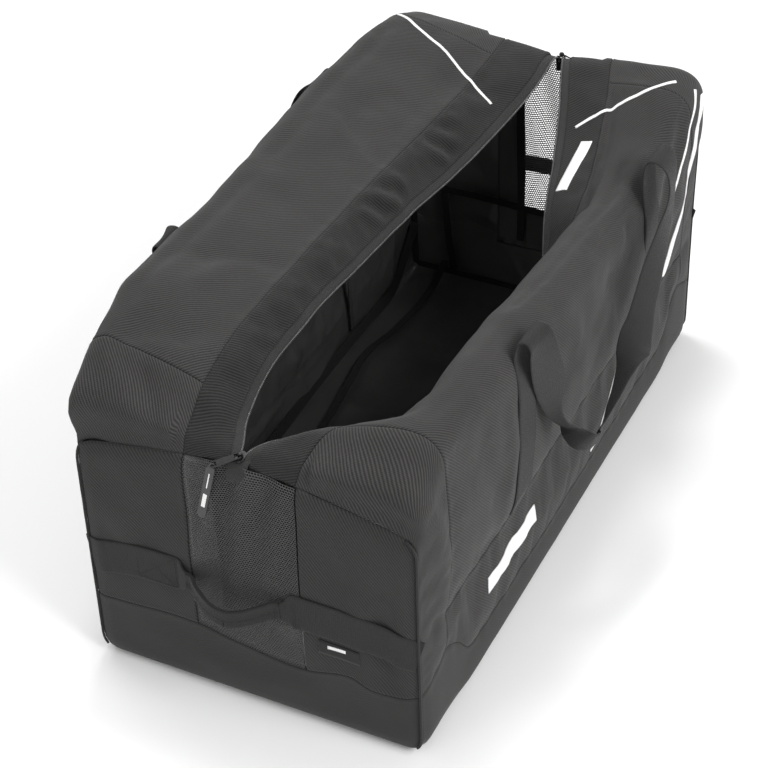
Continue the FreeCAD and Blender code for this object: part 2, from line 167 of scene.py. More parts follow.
class Graph:
    """Short forms for the nodes that the materials share."""

    def __init__(self, tree):
        self.tree = tree

    def node(self, kind, **values):
        n = self.tree.nodes.new(kind)
        for key, value in values.items():
            setattr(n, key, value)
        return n

    def link(self, a, b):
        self.tree.links.new(a, b)

    def cloth(self, scale_u, scale_v):
        uv = self.node("ShaderNodeUVMap", uv_map="cloth")
        mapping = self.node("ShaderNodeMapping")
        mapping.inputs["Scale"].default_value = (scale_u, scale_v, 1.0)
        self.link(uv.outputs["UV"], mapping.inputs["Vector"])
        return mapping.outputs["Vector"]

    def wave(self, vector, scale, direction="DIAGONAL", distortion=0.0):
        w = self.node("ShaderNodeTexWave", wave_type="BANDS", bands_direction=direction)
        w.inputs["Scale"].default_value = scale
        w.inputs["Distortion"].default_value = distortion
        w.inputs["Detail"].default_value = 1.0
        w.inputs["Detail Scale"].default_value = 1.0
        self.link(vector, w.inputs["Vector"])
        return w.outputs["Fac"]

    def noise(self, vector, scale, detail=2.0):
        n = self.node("ShaderNodeTexNoise")
        n.inputs["Scale"].default_value = scale
        n.inputs["Detail"].default_value = detail
        self.link(vector, n.inputs["Vector"])
        return n.outputs["Fac"]

    def math(self, operation, a, b):
        m = self.node("ShaderNodeMath", operation=operation)
        for socket, value in zip(m.inputs, (a, b)):
            if isinstance(value, float):
                socket.default_value = value
            else:
                self.link(value, socket)
        return m.outputs[0]

    def ramp(self, factor, low, high):
        r = self.node("ShaderNodeMapRange")
        r.inputs["To Min"].default_value = low
        r.inputs["To Max"].default_value = high
        self.link(factor, r.inputs["Value"])
        return r.outputs["Result"]

    def colour(self, factor, dark, light):
        mix = self.node("ShaderNodeMix", data_type="RGBA")
        self.link(factor, mix.inputs["Factor"])
        mix.inputs[6].default_value = (*dark, 1.0)
        mix.inputs[7].default_value = (*light, 1.0)
        return mix.outputs[2]

    def bump(self, height, distance, strength, shader, under=None):
        b = self.node("ShaderNodeBump")
        b.inputs["Distance"].default_value = distance
        b.inputs["Strength"].default_value = strength
        self.link(height, b.inputs["Height"])
        if under is not None:
            self.link(under, b.inputs["Normal"])
        if shader is not None:
            self.link(b.outputs["Normal"], shader.inputs["Normal"])
        return b.outputs["Normal"]


def grey(value, warm=0.03):
    return (value * (1.0 + warm), value, value * (1.0 - warm * 0.6))


def woven(name, dark, light, pitch, slant=1.0, bump=0.5, rough=0.88):
    """Twill: slanted wales, fine yarns across them, mottling and rubbed patches."""
    mat, tree, shader = new_material(name)
    g = Graph(tree)
    plain = g.cloth(1.0, slant)
    wale = g.wave(plain, 0.444 / pitch, "DIAGONAL", 0.6)
    yarn = g.wave(plain, 0.63 / (pitch * 0.8), "X", 0.3)
    weave = g.math("ADD", g.math("MULTIPLY", wale, 0.75), g.math("MULTIPLY", yarn, 0.25))
    mottle = g.noise(plain, 220.0, 3.0)
    broad = g.noise(plain, 9.0, 3.0)
    tone = g.math("ADD", g.math("MULTIPLY", weave, 0.72), g.math("MULTIPLY", mottle, 0.28))
    tone = g.math("MULTIPLY", tone, g.ramp(broad, 0.75, 1.25))
    g.link(g.colour(tone, grey(dark), grey(light)), shader.inputs["Base Color"])
    g.link(g.ramp(mottle, rough - 0.07, rough + 0.07), shader.inputs["Roughness"])
    shader.inputs["Sheen Weight"].default_value = 0.10
    shader.inputs["Sheen Roughness"].default_value = 0.45
    shader.inputs["Specular IOR Level"].default_value = 0.25
    height = g.math("ADD", weave, g.math("MULTIPLY", mottle, 0.5))
    g.bump(height, 0.0007, bump, shader)
    return mat


def coated(name):
    """Black waterproof backing: glossy, finely puckered."""
    mat, tree, shader = new_material(name)
    g = Graph(tree)
    plain = g.cloth(1.0, 1.0)
    fine = g.noise(plain, 14.0, 3.0)
    crisp = g.noise(plain, 300.0, 2.0)
    g.link(g.colour(fine, grey(0.050), grey(0.095)), shader.inputs["Base Color"])
    g.link(g.ramp(fine, 0.26, 0.40), shader.inputs["Roughness"])
    shader.inputs["Specular IOR Level"].default_value = 1.0
    shader.inputs["Coat Weight"].default_value = 0.5
    shader.inputs["Coat Roughness"].default_value = 0.2
    soft = g.bump(fine, 0.014, 0.4, None)
    g.bump(crisp, 0.0003, 0.15, shader, soft)
    return mat


def ribbed(name, dark, light, pitch=0.0024, rough=0.7):
    """Webbing: warp cords along it and ribs across it."""
    mat, tree, shader = new_material(name)
    g = Graph(tree)
    plain = g.cloth(1.0, 1.0)
    rib = g.wave(plain, 0.628 / pitch, "X", 0.2)
    warp = g.wave(plain, 0.628 / 0.0016, "Y", 0.3)
    mottle = g.noise(plain, 300.0, 2.0)
    tone = g.math("ADD", g.math("MULTIPLY", rib, 0.5), g.math("MULTIPLY", warp, 0.25))
    tone = g.math("ADD", tone, g.math("MULTIPLY", mottle, 0.3))
    g.link(g.colour(tone, grey(dark), grey(light)), shader.inputs["Base Color"])
    g.link(g.ramp(mottle, rough - 0.1, rough + 0.1), shader.inputs["Roughness"])
    shader.inputs["Sheen Weight"].default_value = 0.08
    shader.inputs["Specular IOR Level"].default_value = 0.3
    g.bump(g.math("ADD", rib, g.math("MULTIPLY", warp, 0.6)), 0.0005, 0.6, shader)
    return mat


def moulded(name, dark, light, rough, metallic=0.0, speck=160.0):
    """Plastic, rubber, print or painted metal with faint grain and rubbing."""
    mat, tree, shader = new_material(name)
    g = Graph(tree)
    where = g.node("ShaderNodeTexCoord").outputs["Object"]
    grain = g.noise(where, speck, 3.0)
    fine = g.noise(where, speck * 9.0, 2.0)
    g.link(g.colour(grain, grey(dark, 0.01), grey(light, 0.01)), shader.inputs["Base Color"])
    g.link(g.ramp(grain, rough - 0.08, rough + 0.1), shader.inputs["Roughness"])
    shader.inputs["Metallic"].default_value = metallic
    g.bump(fine, 0.0002, 0.25, shader)
    return mat


MATERIAL = {
    "side_fabric": woven("side_fabric", 0.004, 0.056, 0.0032),
    "yoke_fabric": woven("yoke_fabric", 0.004, 0.060, 0.0032, slant=-1.0),
    "end_fabric": woven("end_fabric", 0.006, 0.046, 0.0036, slant=-0.8),
    "band_weave": woven("band_weave", 0.001, 0.036, 0.0028, slant=0.55, bump=0.8),
    "boot_fabric": woven("boot_fabric", 0.018, 0.040, 0.0024, bump=0.3),
    "vent_mesh": moulded("vent_mesh", 0.024, 0.060, 0.62, speck=240.0),
    "webbing": ribbed("webbing", 0.001, 0.021),
    "zip_tape": ribbed("zip_tape", 0.010, 0.034, pitch=0.0012, rough=0.8),
    "zip_coil": moulded("zip_coil", 0.030, 0.120, 0.22),
    "binding_tape": ribbed("binding_tape", 0.004, 0.014, pitch=0.0014, rough=0.6),
    "zip_metal": moulded("zip_metal", 0.010, 0.024, 0.3, metallic=0.4),
    "pull_rubber": moulded("pull_rubber", 0.028, 0.055, 0.55),
    "end_tab": ribbed("end_tab", 0.010, 0.030, pitch=0.0012, rough=0.8),
    "label": woven("label", 0.012, 0.030, 0.0008, bump=0.3),
    "coating": coated("coating"),
    "thread": moulded("thread", 0.012, 0.030, 0.7, speck=900.0),
    "print": moulded("print", 0.74, 0.90, 0.55, speck=90.0),
}


# ---- meshes ------------------------------------------------------------------
def add_piece(name, points, faces, material, body=BAG, replaces=(), uv=None,
              face_material=None, flat=False):
    """A mesh object in metres, riding on a CAD body."""
    mesh = bpy.data.meshes.new(name)
    mesh.from_pydata((np.asarray(points) * MM).tolist(), [], faces)
    mats = [material] if isinstance(material, str) else list(material)
    for m in mats:
        mesh.materials.append(MATERIAL[m])
    if face_material is not None:
        mesh.polygons.foreach_set("material_index", np.asarray(face_material, np.int32))
    if uv is not None:
        layer = mesh.uv_layers.new(name="cloth")
        corner = np.zeros(len(mesh.loops), np.int32)
        mesh.loops.foreach_get("vertex_index", corner)
        layer.data.foreach_set("uv", (np.asarray(uv)[corner] * MM).astype(np.float32).ravel())
    mesh.polygons.foreach_set("use_smooth", np.full(len(mesh.polygons), not flat))
    mesh.validate()
    mesh.update()
    obj = bpy.data.objects.new(name, mesh)
    bpy.context.scene.collection.objects.link(obj)
    if body is not None:
        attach(obj, body)
    if replaces:
        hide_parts(*replaces)
    return obj


def grid_faces(rows, cols, base=0, flip=False):
    r, c = np.meshgrid(np.arange(rows - 1), np.arange(cols - 1), indexing="ij")
    a = base + (r * cols + c).ravel()
    quads = np.column_stack([a, a + 1, a + 1 + cols, a + cols])
    return quads[:, ::-1] if flip else quads


def closed_sheet(outer, inner, flip=False):
    """Points and faces of a grid given thickness; also which faces are inside."""
    rows, cols = outer.shape[:2]
    count = rows * cols
    front = grid_faces(rows, cols, 0, flip)
    back = grid_faces(rows, cols, count, not flip)
    ring = ([r * cols for r in range(rows)][::-1] + list(range(1, cols))
            + [r * cols + cols - 1 for r in range(1, rows)]
            + [(rows - 1) * cols + c for c in range(cols - 2, 0, -1)])
    ring = ring + [ring[0]] if ring[0] != ring[-1] else ring
    ring = np.array(ring)
    a, b = ring[:-1], ring[1:]
    walls = np.column_stack([b, a, a + count, b + count])
    if flip:
        walls = walls[:, ::-1]
    faces = np.vstack([front, walls, back])
    inside = np.concatenate([np.zeros(len(front) + len(walls), int), np.ones(len(back), int)])
    points = np.vstack([outer.reshape(-1, 3), inner.reshape(-1, 3)])
    return points, faces.tolist(), inside


def sample(values, r, c):
    """Values of a grid between its rows and columns."""
    r = np.clip(r, 0, values.shape[0] - 1.0001)
    c = np.clip(c, 0, values.shape[1] - 1.0001)
    r0, c0 = r.astype(int), c.astype(int)
    fr, fc = (r - r0)[..., None], (c - c0)[..., None]
    return ((values[r0, c0] * (1 - fc) + values[r0, c0 + 1] * fc) * (1 - fr)
            + (values[r0 + 1, c0] * (1 - fc) + values[r0 + 1, c0 + 1] * fc) * fr)


def normals_of(grid, sign=1.0):
    dr, dc = np.gradient(grid, axis=0), np.gradient(grid, axis=1)
    return unit(np.cross(dc, dr)) * sign


class Surface:
    """A skin as a grid of points with normals and cloth coordinates."""

    def __init__(self, points, sign=1.0):
        self.points = points
        self.sign = sign
        self.refresh()
        down = np.linalg.norm(np.diff(points, axis=0), axis=-1)
        mid = down.mean(axis=1) if down.ndim > 1 else down
        self.arc = np.concatenate([[0.0], np.cumsum(mid)])
        over = np.linalg.norm(np.diff(points, axis=1), axis=-1).mean(axis=0)
        self.run = np.concatenate([[0.0], np.cumsum(over)])

    def refresh(self):
        self.normals = normals_of(self.points, self.sign)

    def push(self, amount):
        self.points = self.points + self.normals * amount[..., None]
        self.refresh()

    def cloth_of(self, r, c):
        v = np.interp(r, np.arange(len(self.arc)), self.arc)
        u = np.interp(c, np.arange(len(self.run)), self.run)
        return np.stack([u, v], axis=-1)

    def at(self, r, c, lift=0.0):
        p = sample(self.points, r, c)
        n = unit(sample(self.normals, r, c))
        return p + n * np.asarray(lift)[..., None], n


def spaced(low, high, fine):
    """Rows from low to high, with close ones beside the seams."""
    inner = np.linspace(low + 1, high - 1, max(2, int(round((high - low - 2) * fine)) + 1))
    return np.concatenate([[low, low + 0.18, low + 0.5], inner,
                           [high - 0.5, high - 0.18, high]])


GROOVE = ([0.0, 0.18, 0.5, 1.0, 1.6], [-1.5, -0.2, 0.45, 0.15, 0.0])


def panel(name, surface, rows, cols, slot, replaces=(), fine=1, lining=None,
          seams=(1, 1, 1, 1)):
    """One cut piece of cloth: outer face, coated inner face and rolled-in seams."""
    rr, cc = spaced(*rows, fine), spaced(*cols, fine)
    r, c = np.meshgrid(rr, cc, indexing="ij")
    big = 99.0
    edge = np.minimum.reduce([np.where(on, gap, big) for on, gap in zip(
        seams, (r - rows[0], rows[1] - r, c - cols[0], cols[1] - c))])
    depth = np.interp(edge, *GROOVE)
    outer, n = surface.at(r, c, depth)
    inner = surface.at(r, c)[0] - n * SKIN
    if lining is not None:
        inner = inner - n * (lining(r, c) * smoothstep(0.0, 4.0, edge))[..., None]
    points, faces, inside = closed_sheet(outer, inner, surface.sign < 0)
    uv = surface.cloth_of(r, c).reshape(-1, 2)
    return add_piece(name, points, faces, (slot, "coating"), BAG, replaces,
                     np.vstack([uv, uv]), inside)


# ---- the lofted shell ----------------------------------------------------------
FLAT = [(0, 0)]
BOOT_EDGE = [(-467, 104), (-430, 122), (-405, 130), (-372, 112), (-335, 72), (-300, 65),
             (320, 65), (350, 72), (380, 108), (405, 130), (430, 122), (467, 104)]
RAILS = [
    ("back_zip",
     [(-467, 14), (-455, 14), (-440, 18), (-405, 31), (-300, 42), (60, 40), (200, 30),
      (320, 14), (405, -4), (440, -5), (467, -6)],
     [(-467, 393), (-455, 400), (-440, 404), (-405, 410), (-300, 428), (-200, 430), (-100, 421),
      (60, 408), (200, 398), (320, 411), (405, 441), (440, 449), (467, 430)], 12),
    ("back_seam",
     [(-467, 75), (320, 68), (405, 62), (440, 60), (467, 66)],
     [(-467, 384), (-455, 400), (-440, 414), (-405, 443), (-300, 464), (-100, 462), (60, 455),
      (200, 444), (320, 440), (405, 452), (440, 457), (455, 446), (467, 420)], 26),
    ("back_shoulder",
     [(-467, 230), (-405, 232), (0, 234), (405, 232), (467, 230)],
     [(-467, 357), (-458, 395), (-444, 436), (-405, 474), (-300, 510), (-200, 506), (-100, 503),
      (30, 508), (190, 518), (310, 510), (405, 490), (444, 464), (458, 435), (467, 388)], 44),
    ("back_line", [(0, 230)], [(0, 190)], 18),
    ("back_boot", [(0, 230)], BOOT_EDGE, 12),
    ("back_foot", [(0, 230)], FLAT, 66),
    ("front_foot", [(0, -230)], FLAT, 12),
    ("front_boot", [(0, -230)], BOOT_EDGE, 18),
    ("front_line", [(0, -230)], [(0, 190)], 40),
    ("front_shoulder",
     [(-467, -230), (-405, -232), (0, -233), (405, -234), (467, -232)],
     [(-467, 357), (-455, 392), (-440, 426), (-405, 462), (-312, 468), (-227, 462), (-100, 454),
      (60, 434), (139, 424), (231, 412), (320, 424), (405, 456), (444, 462), (458, 440),
      (467, 388)], 9),
    ("front_fold",
     [(-467, -150), (-405, -165), (-300, -176), (60, -180), (200, -190), (320, -180),
      (405, -165), (467, -150)],
     [(-467, 370), (-455, 398), (-440, 426), (-405, 456), (-339, 450), (-275, 454), (-204, 457),
      (-133, 452), (-44, 438), (60, 430), (200, 418), (320, 427), (405, 454), (440, 461),
      (455, 446), (467, 404)], 20),
    ("front_seam",
     [(-467, -75), (-440, -82), (-405, -100), (-350, -140), (-300, -166), (60, -164),
      (200, -160), (320, -138), (405, -116), (440, -104), (467, -94)],
     [(-467, 384), (-455, 402), (-440, 416), (-405, 436), (-350, 398), (-300, 352), (60, 336),
      (200, 392), (320, 421), (405, 448), (440, 457), (455, 446), (467, 420)], 12),
    ("front_zip",
     [(-467, -14), (-455, -14), (-440, -22), (-405, -62), (-350, -120), (-300, -158), (60, -148),
      (200, -116), (320, -84), (405, -54), (440, -42), (459, -34), (467, -34)],
     [(-467, 393), (-455, 402), (-440, 408), (-405, 414), (-350, 356), (-300, 286), (60, 272),
      (200, 376), (320, 404), (405, 440), (440, 449), (467, 430)], 0),
]
BULGE = {"back_zip": 3.0, "back_seam": 6.0, "back_shoulder": 7.0, "back_line": 3.0,
         "back_boot": 2.0, "front_foot": 2.0, "front_boot": 3.0, "front_line": 7.0,
         "front_shoulder": 3.0, "front_fold": 2.0, "front_seam": 2.0}
SOFTEN = {"back_shoulder": (5.0, 1.0), "front_shoulder": (5.0, 1.0), "front_fold": (4.0, 1.0),
          "back_foot": (2.2, 0.35), "front_foot": (2.2, 0.35), "back_seam": (2.5, 0.5),
          "front_seam": (2.5, 0.5)}
SOFTEN_ROUNDS = 16

ROW = {}
for _name, _ys, _zs, _count in RAILS:
    ROW[_name] = sum(r[3] for r in RAILS[:len(ROW)])
ROWS = sum(r[3] for r in RAILS) + 1
END_COLS = 13
MID_COLS = 145
COL_X = np.concatenate([np.linspace(-END_X, -YOKE_X, END_COLS),
                        np.linspace(-YOKE_X, YOKE_X, MID_COLS + 1)[1:],
                        np.linspace(YOKE_X, END_X, END_COLS)[1:]])
COL_LEFT = END_COLS - 1
COL_RIGHT = END_COLS - 1 + MID_COLS
COL_LAST = len(COL_X) - 1


def shell_grid():
    x = COL_X
    edge = 1.0 - smoothstep(425.0, END_X, np.abs(x))
    rows = []
    for (name, ys, zs, count), (_, ys1, zs1, _) in zip(RAILS, RAILS[1:]):
        a = np.stack([rail(ys, x), rail(zs, x)], axis=-1)
        b = np.stack([rail(ys1, x), rail(zs1, x)], axis=-1)
        way = unit(b - a)
        out = np.stack([-way[:, 1], way[:, 0]], axis=-1)
        for k in range(count):
            t = k / count
            lift = BULGE.get(name, 0.0) * math.sin(math.pi * t) * edge
            rows.append(a + (b - a) * t + out * lift[:, None])
    rows.append(np.stack([rail(RAILS[-1][1], x), rail(RAILS[-1][2], x)], axis=-1))
    yz = np.array(rows)
    weight = np.zeros(ROWS)
    for name, (reach, strength) in SOFTEN.items():
        gap = (np.arange(ROWS) - ROW[name]) / reach
        weight = np.maximum(weight, strength * np.exp(-gap ** 2))
    for _ in range(SOFTEN_ROUNDS):
        mean = (yz[:-2] + yz[2:]) / 2.0
        yz[1:-1] += weight[1:-1, None, None] * (mean - yz[1:-1])
    tuck = smoothstep(440.0, END_X + 3.0, np.abs(x)) ** 2
    yz[..., 0] *= 1.0 - 0.016 * tuck
    low = np.clip(1.0 - yz[..., 1] / 60.0, 0.0, 1.0)
    yz[..., 1] += 8.0 * tuck * low
    yz[..., 1] = np.maximum(yz[..., 1], 0.2)
    spread = np.broadcast_to(x, yz.shape[:2]).copy()
    upper = smoothstep(330.0, 400.0, yz[..., 1]) * (1.0 - 0.6 * (np.abs(yz[..., 0]) < 90.0))
    roll = np.sin(math.pi * smoothstep(425.0, END_X, np.abs(x)) ** 1.4)
    spread += np.sign(x) * 13.0 * roll * upper
    corner = smoothstep(150.0, 230.0, np.abs(yz[..., 0]))
    spread += np.sign(x) * 3.0 * roll * upper * corner
    return np.concatenate([spread[..., None], yz], axis=-1)


def rows_between(a, b):
    """Row numbers of two rails, the lower one first."""
    return tuple(sorted((ROW[a], ROW[b])))


def between_rows(first, last, fade=2.0):
    """1 between two rails and 0 elsewhere, easing over a few rows."""
    r = np.arange(ROWS)[:, None]
    a, b = ROW[first], ROW[last]
    return smoothstep(a - 0.01, a + fade, r) * (1.0 - smoothstep(b - fade, b + 0.01, r))


def fold(points, path, wide, high, hollow=0.45):
    """A soft fold along a 3-D path: a ridge (or a valley) with shallow troughs beside it."""
    line = spline(path, 6.0)
    flat = points.reshape(-1, 3)
    line = np.array([flat[np.argmin(((flat - p) ** 2).sum(axis=1))] for p in line])
    line = spline(line[::3], 6.0)
    near = np.full(len(flat), 1e9)
    for i in range(len(line) - 1):
        a, b = line[i], line[i + 1]
        ab = b - a
        t = np.clip(((flat - a) @ ab) / (ab @ ab), 0.0, 1.0)
        near = np.minimum(near, np.linalg.norm(flat - (a + t[:, None] * ab), axis=1))
    q = (near / wide) ** 2
    ends = np.minimum(np.linalg.norm(flat - line[0], axis=1), np.linalg.norm(flat - line[-1], axis=1))
    taper = smoothstep(0.0, 2.2 * wide, ends)
    return (high * (1.0 - hollow * q) * np.exp(-q) * (0.25 + 0.75 * taper)).reshape(points.shape[:2])


def settle(points, hold, slack, cap, steps=12, thin=2):
    """Cloth simulation of a skin cut slightly too large, held at its seams: natural buckles."""
    rows = np.unique(np.append(np.arange(0, points.shape[0], thin), points.shape[0] - 1))
    cols = np.unique(np.append(np.arange(0, points.shape[1], thin), points.shape[1] - 1))
    coarse = points[np.ix_(rows, cols)]
    mesh = bpy.data.meshes.new("settling")
    mesh.from_pydata((coarse.reshape(-1, 3) * MM).tolist(), [],
                     grid_faces(len(rows), len(cols)).tolist())
    obj = bpy.data.objects.new("settling", mesh)
    bpy.context.scene.collection.objects.link(obj)
    group = obj.vertex_groups.new(name="hold")
    weight = hold[np.ix_(rows, cols)].ravel()
    group.add(np.flatnonzero(weight > 0.5).tolist(), 1.0, "REPLACE")
    cloth = obj.modifiers.new("settling", "CLOTH")
    cloth.settings.quality = 4
    cloth.settings.mass = 0.12
    cloth.settings.tension_stiffness = cloth.settings.compression_stiffness = 12.0
    cloth.settings.shear_stiffness = 6.0
    cloth.settings.bending_stiffness = 3.0
    cloth.settings.vertex_group_mass = "hold"
    cloth.settings.pin_stiffness = 1.0
    cloth.settings.shrink_min = -slack
    cloth.settings.effector_weights.gravity = 0.3
    cloth.collision_settings.use_collision = False
    cloth.point_cache.frame_start, cloth.point_cache.frame_end = 1, steps
    for frame_number in range(1, steps + 1):
        bpy.context.scene.frame_set(frame_number)
    settled = obj.evaluated_get(bpy.context.evaluated_depsgraph_get()).data
    moved = np.zeros(coarse.size)
    settled.vertices.foreach_get("co", moved)
    bpy.context.scene.frame_set(1)
    bpy.data.objects.remove(obj)
    bpy.data.meshes.remove(mesh)
    move = moved.reshape(coarse.shape) / MM - coarse
    far = np.linalg.norm(move, axis=-1, keepdims=True)
    move *= np.tanh(far / cap) * cap / np.maximum(far, 1e-6)
    r, c = np.meshgrid(np.interp(np.arange(points.shape[0]), rows, np.arange(len(rows))),
                       np.interp(np.arange(points.shape[1]), cols, np.arange(len(cols))),
                       indexing="ij")
    return points + sample(move, r, c)


FREE_RAILS = ("back_shoulder", "front_shoulder", "front_fold")
CLOTH_SLACK = 0.006
CLOTH_CAP = 6.0


def shell_hold():
    """Where sewing holds the shell still; between these lines the cloth is free."""
    r = np.arange(ROWS)[:, None]
    c = np.arange(len(COL_X))[None, :]
    held = (r > ROW["back_boot"]) & (r < ROW["front_boot"]) & (c >= 0)
    for name in ROW:
        if name not in FREE_RAILS:
            held = held | (np.abs(r - ROW[name]) < 1.5)
    for edge in (0, COL_LEFT, COL_RIGHT, COL_LAST):
        held = held | (np.abs(c - edge) < 1.5)
    return held * 1.0


flat_shell = shell_grid()
flat_shell = settle(flat_shell, shell_hold(), CLOTH_SLACK, CLOTH_CAP)
shell = Surface(flat_shell)
_s = np.broadcast_to(shell.arc[:, None], shell.points.shape[:2])
_x = np.broadcast_to(COL_X[None, :], shell.points.shape[:2])
_away = 1.0 - smoothstep(430.0, END_X, np.abs(_x)) * 0.85
_stand = 1.0 - between_rows("back_foot", "front_foot", 1.0)

push = 1.5 * ripples(_x, _s, 11, 9, 110.0, 260.0) + 0.7 * ripples(_x, _s, 12, 12, 45.0, 100.0)
push = push * _away * _stand * (1.0 - 0.8 * between_rows("back_boot", "front_boot", 2.0))
for _rail in ("back_seam", "back_line", "back_boot", "front_boot", "front_line", "front_seam"):
    _gap = np.abs(_s - shell.arc[ROW[_rail]])
    push += (0.55 * np.sin(_x / 5.2 + 2.0 * ripples(_x, _s * 0.0, 31, 4, 60.0, 150.0))
             * np.exp(-_gap / 9.0) * _away * _stand)
_band = between_rows("back_zip", "back_seam", 3.0) * smoothstep(-440, -380, _x) * (
    1.0 - smoothstep(250, 330, _x))
push += 3.3 * _band * np.sin((_x * 0.86 + _s * 0.62) / 6.6 + 1.6 * ripples(_x, _s, 41, 5, 90, 200)
                             ) * smoothstep(-0.2, 0.7, ripples(_x, _s, 42, 6, 90.0, 190.0))
shell.push(push)

# Folds of the packed-flat bag: (path over the cloth, width, height; a valley is negative).
SHELL_FOLDS = [
    ([(-395, 196, 492), (-300, 204, 508), (-180, 202, 502), (-40, 205, 502)], 13.0, -5.2),
    ([(-20, 190, 505), (120, 196, 514), (260, 196, 512), (390, 204, 490)], 12.0, -4.6),
    ([(-440, 150, 415), (-418, 190, 432), (-385, 205, 462), (-330, 190, 490)], 15.0, 5.0),
    ([(-452, 110, 400), (-420, 150, 428), (-395, 150, 455)], 12.0, -5.0),
    ([(-455, 190, 380), (-440, 215, 330), (-430, 228, 250)], 16.0, -4.5),
    ([(-380, 120, 462), (-300, 150, 486), (-200, 130, 478)], 20.0, 4.5),
    ([(60, 120, 470), (160, 150, 480), (260, 120, 470)], 22.0, -4.2),
    ([(-250, 195, 498), (-205, 130, 480), (-175, 75, 464)], 16.0, -3.6),
    ([(130, 190, 502), (90, 125, 476), (45, 70, 456)], 18.0, 3.6),
    ([(-448, -205, 400), (-425, -222, 330), (-415, -228, 230), (-425, -228, 150)], 17.0, 4.5),
    ([(-395, -200, 455), (-300, -210, 462), (-200, -214, 455), (-60, -216, 448)], 12.0, -2.6),
    ([(-130, -196, 452), (20, -200, 436), (150, -200, 424), (290, -190, 420)], 8.0, -4.2),
    ([(60, -218, 430), (180, -216, 412), (300, -212, 414), (400, -214, 440)], 9.0, 3.6),
    ([(150, -168, 408), (230, -160, 408), (320, -146, 420), (400, -120, 444)], 7.0, -4.0),
    ([(-60, -232, 400), (-20, -234, 330), (20, -234, 270)], 26.0, 4.0),
    ([(60, -232, 390), (110, -234, 330), (150, -234, 250)], 24.0, -4.0),
    ([(-330, -232, 420), (-290, -234, 330), (-270, -234, 230)], 26.0, -3.5),
    ([(-250, -232, 400), (-225, -234, 300), (-240, -234, 210)], 18.0, 3.5),
    ([(300, -232, 400), (330, -234, 330), (350, -234, 260)], 20.0, -3.5),
]
for _path, _wide, _high in SHELL_FOLDS:
    shell.push(fold(shell.points, _path, _wide, _high))
shell.points[..., 2] = np.maximum(shell.points[..., 2], 0.2)
shell.refresh()

COLS_ALL = (0, COL_LAST)
COLS_MID = (COL_LEFT, COL_RIGHT)


def floor_lining(r, c):
    p = sample(shell.points, r, c)
    x, y = p[..., 0], p[..., 1]
    soft = 2.5 + 1.8 * ripples(x, y, 51, 8, 60.0, 170.0)
    sharp = creases(x, y, 52, 26, (-450, 450, -215, 215), (70, 170), (16, 34))
    return np.maximum(soft + 12.0 * sharp, 0.2)


def wall_lining(r, c):
    p = sample(shell.points, r, c)
    x, z = p[..., 0], p[..., 2]
    soft = 1.8 + 1.2 * ripples(x, z, 61, 8, 60.0, 150.0)
    sharp = creases(x, z, 62, 24, (-450, 450, 0, 420), (60, 150), (14, 30))
    return np.maximum(soft + 9.0 * sharp, 0.1)


panel("bottom_panel_cloth", shell, rows_between("back_foot", "front_foot"), COLS_ALL, "boot_fabric",
      ["bottom_panel"], fine=2, lining=floor_lining, seams=(0, 0, 1, 1))
for _side in ("back", "front"):
    def _rows(a, b, side=_side):
        return rows_between(side + "_" + a, side + "_" + b)
    panel("boot_band_%s_cloth" % _side, shell, _rows("boot", "foot"), COLS_ALL, "boot_fabric",
          ["boot_band_" + _side], lining=wall_lining, fine=2)
    panel("print_band_%s_cloth" % _side, shell, _rows("line", "boot"), COLS_MID, "side_fabric",
          ["print_band_" + _side], lining=wall_lining, fine=2)
    panel("side_panel_%s_cloth" % _side, shell, _rows("shoulder", "line"), COLS_MID, "side_fabric",
          ["side_panel_" + _side], lining=wall_lining, seams=(0, 1, 1, 1) if _side == "back"
          else (1, 0, 1, 1))
    panel("top_panel_%s_cloth" % _side, shell, _rows("seam", "shoulder"), COLS_MID, "side_fabric",
          ["top_panel_" + _side], seams=(1, 0, 1, 1) if _side == "back" else (0, 1, 1, 1))
    panel("zip_band_%s_cloth" % _side, shell, _rows("zip", "seam"), COLS_ALL, "band_weave",
          ["zip_band_" + _side])
    for _end, _cols in (("left", (0, COL_LEFT)), ("right", (COL_RIGHT, COL_LAST))):
        panel("yoke_%s_%s_cloth" % (_end, _side), shell, _rows("seam", "boot"), _cols, "yoke_fabric",
              ["yoke_%s_%s" % (_end, _side)], lining=wall_lining)


# ---- ends ----------------------------------------------------------------------
BOOT_ROWS = 18
UPPER_ROWS = 46
END_SPAN = 78
VENT_FIRST = 26
VENT_LAST = 52
END_BOOT_WAVE = [(-230, 104), (-194, 93), (-165, 95), (-133, 107), (-64, 92), (19, 103), (89, 114),
                 (162, 110), (230, 102)]


